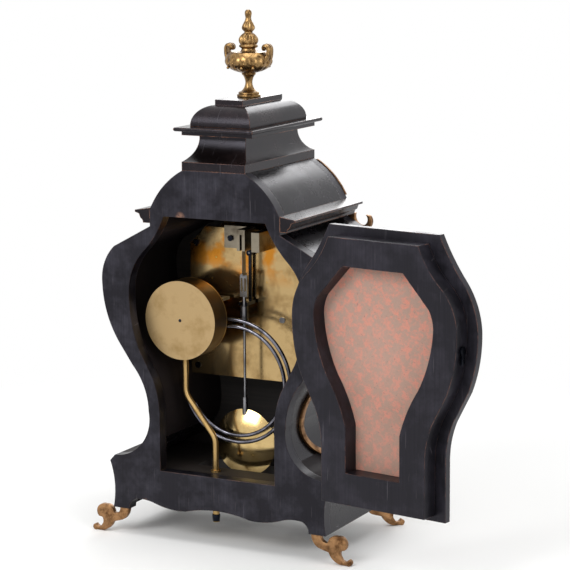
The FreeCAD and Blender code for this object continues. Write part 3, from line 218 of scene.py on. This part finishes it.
def rolled_brass(name, bright, stained, roughness, line_scale, varnish_above=None, rim_shade_painted=False):
    """Rolled sheet or turned brass, grained with fine abrasive: lines one way and a few fingerprints.
    Above a height, old varnish lies in orange patches. A painted rim shade darkens the sides to brown,
    painted shade standing for the dark case reflected in them."""
    mat, t = blank(name)
    place = object_place(t)
    lines = mottled(t, drawn_out(t, place, line_scale), 1.0, 2.0)
    marks = mottled(t, place, 16 * MM, 5.0, 0.6)
    shade = mixed(t, ranged(t, marks, 0.46, 0.74, 0.0, 0.8), rgb(bright), rgb(stained))
    rough = ranged(t, marks, 0.4, 0.75, roughness, roughness + 0.14)
    if varnish_above:
        height = add(t, "ShaderNodeSeparateXYZ", None, {0: place}).outputs["Z"]
        runs = mottled(t, place, 22 * MM, 3.0)
        edge = ranged(t, height, varnish_above - 12 * MM, varnish_above + 8 * MM, 0.0, 1.0)
        shade = mixed(t, product(t, edge, ranged(t, runs, 0.46, 0.56, 0.0, 0.9)), shade, rgb("c07a1c"))
    # painted shade: faces turned away from front and back, the drum's rim, go dark brown for the dark case
    # reflected in them
    if rim_shade_painted:
        facing = add(t, "ShaderNodeNewGeometry").outputs["True Normal"]
        depth = add(t, "ShaderNodeSeparateXYZ", None, {0: facing}).outputs["Y"]
        side = ranged(t, reckoned(t, "ABSOLUTE", depth), 0.7, 0.3, 0.0, 0.9)
        shade = mixed(t, side, shade, rgb("54422a"))
    shader = add(t, "ShaderNodeBsdfPrincipled", None,
                 {"Base Color": shade, "Roughness": rough, "Normal": bumped(t, lines, 0.18, 0.02 * MM),
                  "Metallic": 1.0})
    finished(t, shader)
    return mat


def steel(name, tone, heat, roughness):
    """Hardened steel, polished and in places drawn to blue over a flame, with a thin film of oil."""
    mat, t = blank(name)
    film = mottled(t, object_place(t), 9 * MM, 4.0)
    shade = mixed(t, ranged(t, film, 0.4, 0.68, 0.0, 1.0), rgb(tone), rgb(heat))
    rough = ranged(t, film, 0.3, 0.7, roughness - 0.05, roughness + 0.1)
    shader = add(t, "ShaderNodeBsdfPrincipled", None,
                 {"Base Color": shade, "Roughness": rough, "Metallic": 1.0})
    finished(t, shader)
    return mat


def damask_cloth():
    """Cotton lining cloth, once red, faded to salmon: small woven blocks with ragged edges, staggered
    on the lattice over a grey-beige ground, paler higher up, with flecks of dirt and a fine weave."""
    mat, t = blank("faded_cotton_damask")
    flat = add(t, "ShaderNodeMapping", None,
               {"Vector": object_place(t), "Rotation": (0, 0, -DOOR_ANGLE)}).outputs[0]
    wobble = add(t, "ShaderNodeTexNoise", None,
                 {"Vector": flat, "Scale": 1 / (4 * MM), "Detail": 3.0}).outputs["Color"]
    shift = add(t, "ShaderNodeVectorMath", {"operation": "SCALE"},
                {0: wobble, "Scale": 5.2 * MM}).outputs[0]
    axes = add(t, "ShaderNodeSeparateXYZ", None, {0: on_vectors(t, "ADD", flat, shift)["Vector"]}).outputs
    waves = []
    threads = []
    for axis, pitch in LATTICE:
        waves.append(reckoned(t, "COSINE", product(t, axes[axis], 2 * math.pi / pitch)))
        threads.append(reckoned(t, "SINE", product(t, axes[axis], 2 * math.pi / THREAD_PITCH)))
    figure = product(t, product(t, waves[0], waves[1]), 0.6)
    rough = mottled(t, flat, 2.6 * MM, 4.0, 0.7)
    ragged = reckoned(t, "ADD", figure, ranged(t, rough, 0.3, 0.7, -1.1, 1.1))
    block = ranged(t, ragged, -0.35, 0.75, 0.0, 0.85)
    height = ranged(t, axes["Z"], 100 * MM, 220 * MM, 0.0, 1.0)
    ground = mixed(t, height, rgb("987b6c"), rgb("a5897b"))
    tone = mixed(t, block, ground, mixed(t, height, rgb("c27c6a"), rgb("d28571")))
    fade = mottled(t, flat, 50 * MM, 3.0)
    tone = mixed(t, ranged(t, fade, 0.35, 0.7, 0.0, 0.3), tone, rgb("bf9a8b"))
    weave = product(t, threads[0], threads[1])
    tone = mixed(t, 1.0, tone, ranged(t, weave, -1.0, 1.0, 0.86, 1.08), "MULTIPLY")
    fleck = mottled(t, flat, 2.2 * MM, 1.0)
    tone = mixed(t, ranged(t, fleck, 0.69, 0.74, 0.0, 0.5), tone, rgb("6f625c"))
    shader = add(t, "ShaderNodeBsdfPrincipled", None,
                 {"Base Color": tone, "Roughness": 0.9, "Normal": bumped(t, weave, 0.35, 0.12 * MM),
                  "Sheen Weight": 0.25, "Sheen Roughness": 0.5})
    finished(t, shader)
    return mat


def window_glass():
    """Drawn sheet glass, clear, with a faint dark green body that varies in patches."""
    mat, t = blank("drawn_sheet_glass")
    wave = mottled(t, object_place(t), 40 * MM, 1.0)
    shader = add(t, "ShaderNodeBsdfPrincipled", None,
                 {"Base Color": rgb("1f2825"), "Roughness": 0.03, "Normal": bumped(t, wave, 0.03, 0.1 * MM),
                  "IOR": 1.5, "Specular IOR Level": 1.0, "Alpha": ranged(t, wave, 0.3, 0.75, 0.08, 0.13)})
    finished(t, shader)
    return mat


def fired_enamel():
    """White vitreous enamel on copper: glossy, faintly orange-peeled, slightly yellowed in patches."""
    mat, t = blank("fired_white_enamel")
    place = object_place(t)
    peel = mottled(t, place, 3 * MM, 2.0)
    tint = mottled(t, place, 35 * MM, 3.0)
    shade = mixed(t, ranged(t, tint, 0.4, 0.7, 0.0, 1.0), rgb("eeece3"), rgb("e4dfd0"))
    shader = add(t, "ShaderNodeBsdfPrincipled", None,
                 {"Base Color": shade, "Roughness": 0.16, "Normal": bumped(t, peel, 0.08, 0.1 * MM),
                  "Coat Weight": 0.5, "Coat Roughness": 0.05})
    finished(t, shader)
    return mat


def black_numeral_paint():
    """Black enamel paint fired into the dial."""
    mat, t = blank("fired_black_paint")
    wear = mottled(t, object_place(t), 2 * MM, 3.0)
    shader = add(t, "ShaderNodeBsdfPrincipled", None,
                 {"Base Color": mixed(t, wear, rgb("101012"), rgb("22201f")), "Roughness": 0.3})
    finished(t, shader)
    return mat


# wood grain, 1.2 mm wide and some 50 mm long, that runs up or from front to back
UPRIGHT = (1 / 0.0012, 1 / 0.0012, 1 / 0.05)
LENGTHWISE = (1 / 0.0012, 1 / 0.05, 1 / 0.0012)
# the lines that abrasive or the tool left in the brass
PLATE_LINES = (1 / 0.04, 1 / 0.0005, 1 / 0.0005)
SATIN_LINES = (1 / 0.0006, 1 / 0.0006, 1 / 0.012)
BOB_LINES = (1 / 0.0006, 1 / 0.02, 1 / 0.0006)
FILE_LINES = (1 / 0.0006, 1 / 0.01, 1 / 0.0006)
TURNED_LINES = (1 / 0.001, 1 / 0.001, 1 / 0.001)
# where the black is worn or chipped off, in mm
CATCH_RUB = (-149.0, 66.0, 186.0)
APRON_CHIP = (66.0, 59.0, 28.0)
OPENING_CHIP = (30.0, 58.0, 262.0)
# the second tone of each ebonised finish is the pale bluish painted sheen of its patches
case_back = ebonised_wood("ebonised_pearwood_dull", UPRIGHT, "0d0c10", "302f36", "8a6653", 0.6, 0.36,
                          hidden=(0, 1, 0), bare=[(APRON_CHIP, 5.0), (OPENING_CHIP, 5.0)])
case_side = ebonised_wood("ebonised_pearwood_polished", UPRIGHT, "0b0a0b", "171518", "7a4f3c", 0.5, 0.24,
                          hidden=(1, 0, 1))
case_long = ebonised_wood("ebonised_pearwood_moulding", LENGTHWISE, "0f0b0b", "241b1b", "9c6b50", 1.0, 0.22)
door_wood = ebonised_wood("ebonised_pearwood_door", UPRIGHT, "121115", "29272e", "8a5f4c", 0.7, 0.37,
                          bare=[(CATCH_RUB, 9.0)])
inner_board = stained_board("stained_pine_board", "15110f", "241d1a")
old_brass = cast_brass("sand_cast_brass", "a07a55", "5a3d26", 6 * MM, 0.42)
finial_brass = cast_brass("cast_brass_worn_bright", "a08054", "3d2815", 4 * MM, 0.28)
plate_brass = rolled_brass("rolled_brass_plate", "bca070", "86663a", 0.15, PLATE_LINES,
                           varnish_above=212 * MM)
drum_brass = rolled_brass("spun_brass_satin", "b99a66", "8f713f", 0.36, SATIN_LINES)
# the gong drum's rim is painted darker, as painted shade for the dark case that it reflects
shaded_rim_spun_brass = rolled_brass("spun_brass_painted_rim_shade", "b59a70", "8f7448", 0.36, SATIN_LINES, rim_shade_painted=True)
bob_brass = rolled_brass("polished_sheet_brass", "cdb27c", "a08248", 0.14, BOB_LINES)
wheel_brass = rolled_brass("turned_clock_brass", "cda457", "9c7530", 0.24, TURNED_LINES)
bright_steel = steel("polished_clock_steel", "8d8d90", "6b6a6c", 0.28)
blue_steel = steel("flame_blued_steel", "23262f", "14161d", 0.24)
gong_steel = steel("drawn_spring_steel", "7c7b84", "4a494f", 0.2)
cock_brass = rolled_brass("filed_brass_greyed", "8d8474", "3f3528", 0.3, FILE_LINES)
cloth = damask_cloth()
glass = window_glass()
enamel = fired_enamel()
black_paint = black_numeral_paint()

FINISH = {
    case_back: ["back_panel", "front_panel"],
    case_side: ["side_panel_left", "side_panel_right", "barrel_roof"],
    case_long: ["side_cornices", "pediment_neck", "pediment_cornice", "pediment_cap"],
    door_wood: ["door_board", "door_frame"],
    inner_board: ["bottom_board", "corner_blocks", "dial_board"],
    finial_brass: ["finial"],
    old_brass: ["back_feet", "front_feet", "arch_trim", "waist_mounts", "corner_mounts", "door_hinge_case",
                "door_hinge_leaves", "front_door_frame", "front_door_hinges", "dial_rim"],
    plate_brass: ["front_plate", "back_plate", "plate_pillars"],
    cock_brass: ["suspension_cock"],
    shaded_rim_spun_brass: ["gong_drum"],
    drum_brass: ["gong_hub", "gong_stand"],
    bob_brass: ["pendulum_bob", "rating_nut"],
    wheel_brass: ["going_barrel", "strike_barrel", "centre_arbor", "third_wheel", "escape_wheel",
                  "cannon_pinion", "minute_wheel", "hour_wheel", "strike_wheel", "fly"],
    bright_steel: ["going_winding_arbor", "strike_winding_arbor", "pallets", "suspension_spring",
                   "pendulum_rod", "hammer"],
    blue_steel: ["movement_screws", "door_catch", "crutch", "hour_hand", "minute_hand"],
    gong_steel: ["gong_coil"],
    cloth: ["door_cloth"],
    glass: ["front_glass"],
    enamel: ["dial"],
}
for finish, names in FINISH.items():
    for name in names:
        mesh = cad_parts[name].data
        mesh.materials.clear()
        mesh.materials.append(finish)


# ---------------------------------------------------------------- camera, light and floor

CAMERA_PLACE = (-0.83401, 1.53474, 0.50966)
CAMERA_LOOK = (0.45656523, -0.87255352, -0.17377726)
CAMERA_ROLL = math.radians(0.3615)
CAMERA_LENS = 140.07
SENSOR_WIDTH = 36
LAMP_AIM = Vector((0, 0, 0.2))
PURE_WHITE = (1, 1, 1, 1)


def view_matrix():
    """The camera of the photograph, fitted to the case's own edges."""
    look = Vector(CAMERA_LOOK).normalized()
    right = look.cross(Vector((0, 0, 1))).normalized()
    up = right.cross(look)
    across = right * math.cos(CAMERA_ROLL) - up * math.sin(CAMERA_ROLL)
    upward = right * math.sin(CAMERA_ROLL) + up * math.cos(CAMERA_ROLL)
    turn = Matrix((across, upward, -look)).transposed().to_4x4()
    return Matrix.Translation(CAMERA_PLACE) @ turn


def make_camera():
    lens = bpy.data.cameras.new("photo_camera")
    lens.sensor_width = SENSOR_WIDTH
    lens.sensor_fit = "HORIZONTAL"
    lens.lens = CAMERA_LENS
    lens.clip_start = 0.05
    camera = bpy.data.objects.new("photo_camera", lens)
    camera.matrix_world = view_matrix()
    bpy.context.scene.collection.objects.link(camera)
    bpy.context.scene.camera = camera


def soft_box(name, place, width, height, power):
    lamp = bpy.data.lights.new(name, "AREA")
    lamp.shape = "RECTANGLE"
    lamp.size = width
    lamp.size_y = height
    lamp.energy = power
    holder = bpy.data.objects.new(name, lamp)
    holder.location = place
    holder.rotation_euler = (LAMP_AIM - Vector(place)).to_track_quat("-Z", "Y").to_euler()
    bpy.context.scene.collection.objects.link(holder)


def seen_by_eye(tree):
    """1 where the camera sees the surface itself, through glass or in a reflection."""
    path = add(tree, "ShaderNodeLightPath").outputs
    seen = reckoned(tree, "MAXIMUM", path["Is Camera Ray"], path["Is Transmission Ray"])
    return reckoned(tree, "MAXIMUM", seen, path["Is Glossy Ray"])


def white_surround():
    world = bpy.data.worlds.new("white_studio")
    bpy.context.scene.world = world
    world.use_nodes = True
    t = world.node_tree
    t.nodes.clear()
    level = ranged(t, seen_by_eye(t), 0.0, 1.0, 0.42, 1.0)
    sky = add(t, "ShaderNodeBackground", None, {"Color": PURE_WHITE, "Strength": level})
    add(t, "ShaderNodeOutputWorld", None, {"Surface": sky.outputs[0]})


def make_floor():
    bm = bmesh.new()
    bmesh.ops.create_circle(bm, cap_ends=True, segments=96, radius=3.0)
    mesh = bpy.data.meshes.new("floor")
    bm.to_mesh(mesh)
    bm.free()
    floor = bpy.data.objects.new("floor", mesh)
    floor.location.z = -0.4 * MM
    bpy.context.scene.collection.objects.link(floor)
    mat, t = blank("pale_studio_floor")
    reach = add(t, "ShaderNodeVectorMath", {"operation": "LENGTH"}, {0: object_place(t)}).outputs["Value"]
    # the floor goes over into white between 0.22 m and 0.6 m out
    share = product(t, ranged(t, reach, 0.22, 0.6, 0.0, 1.0), seen_by_eye(t))
    matt = add(t, "ShaderNodeBsdfDiffuse", None, {"Color": rgb("f6f6f5")})
    white = add(t, "ShaderNodeEmission", None, {"Color": PURE_WHITE, "Strength": 1.0})
    both = add(t, "ShaderNodeMixShader", None, {0: share, 1: matt.outputs[0], 2: white.outputs[0]})
    finished(t, both)
    mesh.materials.append(mat)


bpy.context.scene.view_settings.view_transform = "Standard"
make_camera()
white_surround()
make_floor()
soft_box("key", (0.55, 1.9, 1.35), width=1.1, height=1.1, power=28)
soft_box("fill", (-1.9, 0.9, 0.8), width=1.0, height=1.4, power=11)
soft_box("top", (-0.2, 0.1, 1.7), width=1.2, height=1.2, power=14)
soft_box("front", (0.4, -1.8, 0.9), width=1.2, height=1.2, power=16)


# ---------------------------------------------------------------- piece helpers

def piece(name, bm, material, body, smooth=True):
    """Turns a bmesh into a finished piece that rides on a body."""
    mesh = bpy.data.meshes.new(name)
    bm.to_mesh(mesh)
    bm.free()
    mesh.materials.append(material)
    for face in mesh.polygons:
        face.use_smooth = smooth
    made = bpy.data.objects.new(name, mesh)
    bpy.context.scene.collection.objects.link(made)
    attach(made, body)
    return made


def merged_copy(node):
    """The solid of a node as a bmesh with its triangles joined."""
    bm = bmesh.new()
    bm.from_mesh(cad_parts[node].data)
    bmesh.ops.remove_doubles(bm, verts=bm.verts, dist=0.002 * MM)
    return bm


def joined(bm, loops):
    """Quads between each closed loop of vertices and the next."""
    count = len(loops[0])
    for low, high in zip(loops, loops[1:]):
        for i in range(count):
            j = (i + 1) % count
            bm.faces.new((low[i], low[j], high[j], high[i]))


# ---------------------------------------------------------------- the door's cloth

def make_cloth():
    """The lining as one sheet with the face that is seen, pasted on the door board."""
    facing = Vector((math.sin(DOOR_ANGLE), -math.cos(DOOR_ANGLE), 0))
    along = Vector((math.cos(DOOR_ANGLE), math.sin(DOOR_ANGLE), 0))
    upward = Vector((0, 0, 1))
    bm = merged_copy("door_cloth")
    bm.normal_update()
    away = [f for f in bm.faces if f.normal.dot(facing) < 0.9]
    bmesh.ops.delete(bm, geom=away, context="FACES")
    bmesh.ops.dissolve_limit(bm, angle_limit=0.02, verts=bm.verts, edges=bm.edges)
    middle = sum((v.co for v in bm.verts), Vector()) / len(bm.verts)
    # cut into squares, so that it can sink
    for normal, steps in ((along, range(-9, 10)), (upward, range(-13, 15))):
        for k in steps:
            everything = bm.verts[:] + bm.edges[:] + bm.faces[:]
            spot = middle + normal * (k * CLOTH_SQUARE)
            bmesh.ops.bisect_plane(bm, geom=everything, plane_co=spot, plane_no=normal)
    # it is pasted round its edge and sinks back by less than half a millimetre elsewhere
    border = {v for e in bm.edges if e.is_boundary for v in e.verts}
    area = sum(f.calc_area() for f in bm.faces)
    for v in bm.verts:
        if v not in border:
            v.co -= facing * (0.25 + 0.2 * noise.noise(v.co * 45)) * MM
    made = piece("cloth_lining", bm, cloth, "back_door")
    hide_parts("door_cloth")


# ---------------------------------------------------------------- finial

def turned(bm, place, rings, segments, flutes=None):
    """Skin of revolution about a vertical line. Rings are (height, radius) in mm from place; flutes are
    (count, depth, low, high) ripples between two heights."""
    loops = []
    for height, radius in rings:
        loop = []
        for i in range(segments):
            a = 2 * math.pi * i / segments
            r = radius
            for count, depth, low, high in flutes or ():
                if low < height < high:
                    swell = math.sin(math.pi * (height - low) / (high - low))
                    r += depth * swell * (abs(math.cos(count * a / 2)) - 0.6)
            loop.append(bm.verts.new((place[0] + r * MM * math.cos(a), place[1] + r * MM * math.sin(a),
                                      place[2] + height * MM)))
        loops.append(loop)
    joined(bm, loops)
    bm.faces.new(list(reversed(loops[0])))
    bm.faces.new(loops[-1])


def smooth_rings(rings, step):
    """Points along a Catmull-Rom curve through (height, radius) pairs."""
    dense = []
    for i in range(len(rings) - 1):
        p = [rings[max(i - 1, 0)], rings[i], rings[i + 1], rings[min(i + 2, len(rings) - 1)]]
        for k in range(step):
            t = k / step
            dense.append(tuple(0.5 * (2 * p[1][n] + (p[2][n] - p[0][n]) * t
                                      + (2 * p[0][n] - 5 * p[1][n] + 4 * p[2][n] - p[3][n]) * t * t
                                      + (3 * p[1][n] - p[0][n] - 3 * p[2][n] + p[3][n]) * t ** 3)
                               for n in (0, 1)))
    return dense + [rings[-1]]


def swept_leaf(bm, points, widths, thick):
    """Cast leaf along points in the XZ plane, as wide in Y as widths say, ribbed along its outer face."""
    across = 12
    ribs = 3
    loops = []
    for i, point in enumerate(points):
        before = points[max(i - 1, 0)]
        after = points[min(i + 1, len(points) - 1)]
        run = (after - before).normalized()
        out = Vector((run.z, 0, -run.x))
        loop = []
        for k in range(across + 1):
            u = -1 + 2 * k / across
            lift = thick * (0.35 + 0.65 * math.sqrt(max(0.0, 1 - u * u)))
            lift += 0.16 * thick * math.cos(ribs * math.pi * u)
            loop.append(bm.verts.new(point + Vector((0, u * widths[i] * MM, 0)) + out * (lift * MM)))
        for k in range(across, -1, -1):
            u = -1 + 2 * k / across
            back = Vector((0, u * widths[i] * 0.94 * MM, 0))
            loop.append(bm.verts.new(point + back - out * (thick * 0.3 * MM)))
        loops.append(loop)
    joined(bm, loops)
    bm.faces.new(list(reversed(loops[0])))
    bm.faces.new(loops[-1])


# the urn and the bud over it, as (height, radius) in mm above the finial's foot, and one leaf handle
# as (distance out, height) with its half widths
URN = [(0, 9.4), (1.2, 9.5), (1.9, 9.2), (2.3, 8.2), (3.1, 8.4), (3.9, 7.9), (4.6, 6.2), (6, 4.7),
       (8.5, 3.3), (11.6, 2.8), (14.5, 3.4), (16.4, 4.3), (17.4, 5.2), (18.1, 5.7), (18.7, 5.3),
       (19.2, 6.6), (20.5, 11.2), (23, 15.7), (26.5, 18.3), (30, 18.4), (33, 17.1), (34.8, 15.5),
       (35.4, 14.6), (35.3, 12.5), (35.1, 9), (36, 6.2), (38.3, 5.5)]
BUD = [(38.0, 5.4), (38.9, 6.9), (39.7, 7.5), (40.6, 7.3), (41.3, 6.6), (42.2, 7.0), (44, 7.3),
       (46.4, 6.7), (48.6, 5.2), (50, 3.7), (50.9, 3.2), (51.8, 4.0), (53.2, 4.9), (55, 4.8),
       (57.2, 3.9), (59.6, 2.8), (61.6, 2.3), (63, 2.4), (65.2, 2.8), (67, 2.5), (68.2, 1.4)]
HANDLE = [(10.5, 25.5), (14.4, 27.2), (16.8, 29.6), (18.0, 32.4), (18.4, 35.2), (18.6, 37.6),
          (18.0, 39.6), (16.4, 40.4), (14.8, 39.6), (14.6, 38.2), (15.6, 37.6)]
HANDLE_WIDTHS = [6.6, 6.6, 6.0, 5.0, 4.4, 4.4, 4.8, 4.8, 4.6, 4.2, 3.8]
HANDLE_THICK = 2.2
BELLY_RADIUS = 17.6
BEAD_RADIUS = 1.25


def make_finial():
    """Fluted urn with its bud, and the two curled leaf handles with beads between them."""
    low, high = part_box("finial")
    foot = (0.0, (low[1] + high[1]) / 2, low[2])
    bm = bmesh.new()
    turned(bm, foot, smooth_rings(URN, 3), 96, [(16, 0.9, 19.5, 34.5)])
    turned(bm, foot, smooth_rings(BUD, 3), 84, [(14, 1.5, 41.4, 50.6), (10, 0.8, 51.2, 60)])
    urn = piece("finial_urn", bm, finial_brass, "case")
    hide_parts("finial")

    bm = bmesh.new()
    for side in (-1, 1):
        points = [Vector((side * x, 0, z)) * MM + Vector(foot) for x, z in HANDLE]
        widths = HANDLE_WIDTHS[:]
        if side < 0:
            points.reverse()
            widths.reverse()
        swept_leaf(bm, points, widths, HANDLE_THICK)
        # rows of beads on the belly between the handles, the middle ones highest
        for turn in (-1, 1):
            for k in range(-2, 3):
                a = turn * math.pi / 2 + side * (0.42 + 0.13 * k)
                rise = 23.5 + 1.1 * (4 - k * k)
                bead = Vector((BELLY_RADIUS * math.cos(a), BELLY_RADIUS * math.sin(a), rise)) * MM
                bmesh.ops.create_icosphere(bm, subdivisions=2, radius=BEAD_RADIUS * MM,
                                           matrix=Matrix.Translation(bead + Vector(foot)))
    bmesh.ops.recalc_face_normals(bm, faces=bm.faces)
    leaves = piece("finial_leaves", bm, finial_brass, "case")
    finer = leaves.modifiers.new("smooth", "SUBSURF")
    finer.levels = 1
    finer.render_levels = 1


# ---------------------------------------------------------------- feet and other castings

def softened(node, name, width):
    """A casting in the node's own outline with its sharp edges rounded, as filing and wear leave them."""
    bm = merged_copy(node)
    bmesh.ops.dissolve_limit(bm, angle_limit=0.03, verts=bm.verts, edges=bm.edges)
    sharp = [e for e in bm.edges if len(e.link_faces) == 2 and e.calc_face_angle(0) > 0.8]
    bmesh.ops.bevel(bm, geom=sharp, offset=width * MM, offset_type="OFFSET", segments=2, profile=0.5,
                    affect="EDGES", clamp_overlap=True, material=-1)
    made = piece(name, bm, old_brass, "case")
    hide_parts(node)


# ---------------------------------------------------------------- dial

NUMERALS = ["XII", "I", "II", "III", "IIII", "V", "VI", "VII", "VIII", "IX", "X", "XI"]
# the minute track's two lines, inner edge and width in mm, and the bars across it
TRACK_LINES = (41.2, 44.2)
LINE_WIDTH = 0.3
BAR_END = 44.4
HALF_BAR = 0.0045
HALF_FIFTH_BAR = 0.011


def letters(bm, text, size, radius, angle):
    """Adds a numeral whose head points away from the middle of the dial, seen from the front."""
    curve = bpy.data.curves.new("numeral", "FONT")
    curve.body = text
    curve.size = size * MM
    curve.align_x = "CENTER"
    curve.align_y = "CENTER"
    curve.resolution_u = 4
    holder = bpy.data.objects.new("numeral", curve)
    mesh = bpy.data.meshes.new_from_object(holder)
    spot = (radius * math.sin(angle) * MM, DIAL_FACE_Y - PAINT, DIAL_Z + radius * math.cos(angle) * MM)
    upright = Matrix.Rotation(math.pi / 2, 4, "X")
    mesh.transform(Matrix.Translation(spot) @ Matrix.Rotation(angle, 4, "Y") @ upright)
    bm.from_mesh(mesh)
    bpy.data.objects.remove(holder)
    bpy.data.meshes.remove(mesh)


def arc_strip(bm, inner, outer, start, end, steps):
    """Flat strip on the dial between two radii in mm."""
    rows = []
    for i in range(steps + 1):
        a = start + (end - start) * i / steps
        row = []
        for r in (inner, outer):
            spot = (r * MM * math.sin(a), DIAL_FACE_Y - PAINT, DIAL_Z + r * MM * math.cos(a))
            row.append(bm.verts.new(spot))
        rows.append(row)
    for first, second in zip(rows, rows[1:]):
        bm.faces.new((first[0], first[1], second[1], second[0]))


def make_dial_print():
    """Hours, five-minute figures and the minute track."""
    bm = bmesh.new()
    for hour, text in enumerate(NUMERALS):
        letters(bm, text, size=11.5, radius=34.5, angle=math.radians(30 * hour))
    for k in range(1, 13):
        letters(bm, str(5 * k), size=4.6, radius=47.8, angle=math.radians(30 * k))
    for inner in TRACK_LINES:
        arc_strip(bm, inner, inner + LINE_WIDTH, 0, 2 * math.pi, 180)
    for minute in range(60):
        a = math.radians(6 * minute)
        half = HALF_FIFTH_BAR if minute % 5 == 0 else HALF_BAR
        arc_strip(bm, TRACK_LINES[0], BAR_END, a - half, a + half, 1)
    bmesh.ops.recalc_face_normals(bm, faces=bm.faces)
    piece("dial_numerals", bm, black_paint, "case", smooth=False)


# ---------------------------------------------------------------- small fittings

def screw_head(bm, x, y, z, radius, height, turn):
    """Slotted cheese head facing +Y: a low disc under two half rounds that leave the slot."""
    # shares of the radius and of the height
    slot_half = 0.16
    slot_floor = 0.45
    chamfer = 0.12
    edge = math.asin(slot_half)
    disc = [2 * math.pi * i / 28 for i in range(28)]
    half_round = [edge + (math.pi - 2 * edge) * i / 14 for i in range(15)]
    for low, high, angles, side in ((0.0, slot_floor, disc, 1), (slot_floor, 1.0, half_round, 1),
                                    (slot_floor, 1.0, half_round, -1)):
        loops = []
        for level, scale in ((low, 1.0), (high - chamfer, 1.0), (high, 0.9)):
            # the slot's own walls stay upright
            sideways = scale if angles is disc else 1.0
            loop = []
            for a in angles:
                px = radius * math.cos(a) * scale
                pz = side * radius * math.sin(a) * sideways
                qx = px * math.cos(turn) - pz * math.sin(turn)
                qz = px * math.sin(turn) + pz * math.cos(turn)
                loop.append(bm.verts.new(((x + qx) * MM, (y + level * height) * MM, (z + qz) * MM)))
            loops.append(loop)
        joined(bm, loops)
        bm.faces.new(loops[0])
        bm.faces.new(loops[-1])


def loose_shells(bm):
    """The vertices of each shell that hangs together."""
    left = set(bm.verts)
    shells = []
    while left:
        shell = [left.pop()]
        for v in shell:
            for e in v.link_edges:
                other = e.other_vert(v)
                if other in left:
                    left.remove(other)
                    shell.append(other)
        shells.append(shell)
    return shells


def make_movement_screws():
    """A slotted head where each plain screw head stands, every slot at an angle of its own."""
    plain = merged_copy("movement_screws")
    heads = []
    for shell in loose_shells(plain):
        low = [min(v.co[n] for v in shell) / MM for n in range(3)]
        high = [max(v.co[n] for v in shell) / MM for n in range(3)]
        radius = (high[0] - low[0]) / 2
        heads.append(((low[0] + high[0]) / 2, low[1], (low[2] + high[2]) / 2, radius, high[1] - low[1]))
    plain.free()
    bm = bmesh.new()
    for k, (x, y, z, radius, height) in enumerate(sorted(heads)):
        screw_head(bm, x, y, z, radius, height, turn=0.6 + 1.1 * k)
    bmesh.ops.recalc_face_normals(bm, faces=bm.faces)
    made = piece("slotted_screws", bm, blue_steel, "case", smooth=False)
    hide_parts("movement_screws")


def domed_pin(bm, x, y, z, radius, rise):
    """Low domed head facing +Y."""
    sides = 18
    levels = 4
    loops = []
    for k in range(levels):
        a = k / levels * math.pi / 2
        across = radius * math.cos(a)
        loop = []
        for i in range(sides):
            b = 2 * math.pi * i / sides
            loop.append(bm.verts.new(((x + across * math.cos(b)) * MM, (y + rise * math.sin(a)) * MM,
                                      (z + across * math.sin(b)) * MM)))
        loops.append(loop)
    crown = bm.verts.new((x * MM, (y + rise) * MM, z * MM))
    joined(bm, loops)
    for i in range(sides):
        bm.faces.new((loops[-1][i], loops[-1][(i + 1) % sides], crown))


def make_drum_pin():
    """Rivet in the middle of the gong drum, its head sunk a little into the brass."""
    low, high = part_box("gong_drum")
    bm = bmesh.new()
    x, z = [(low[n] + high[n]) / 2 / MM for n in (0, 2)]
    domed_pin(bm, x, high[1] / MM - 0.05, z, radius=1.3, rise=0.9)
    bmesh.ops.recalc_face_normals(bm, faces=bm.faces)
    piece("drum_rivet", bm, blue_steel, "case")


def make_stand_nut():
    """Round nut under the apron on the gong stand's stud."""
    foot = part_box("gong_stand")[0][2]
    stud = [v.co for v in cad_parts["gong_stand"].data.vertices if v.co.z < foot + 1 * MM]
    middle = sum(stud, Vector()) / len(stud)
    bm = bmesh.new()
    turned(bm, (middle.x, middle.y, foot), [(0.1, 2.2), (0.5, 2.9), (5.4, 3.3), (6.2, 3.1), (6.4, 2.9)], 40)
    piece("stand_nut", bm, blue_steel, "case")


make_cloth()
make_finial()
softened("back_feet", "cast_back_feet", width=0.9)
softened("front_feet", "cast_front_feet", width=0.9)
softened("waist_mounts", "cast_waist_bands", width=0.5)
softened("corner_mounts", "cast_corner_scrolls", width=0.6)
make_stand_nut()
make_dial_print()
make_movement_screws()
make_drum_pin()
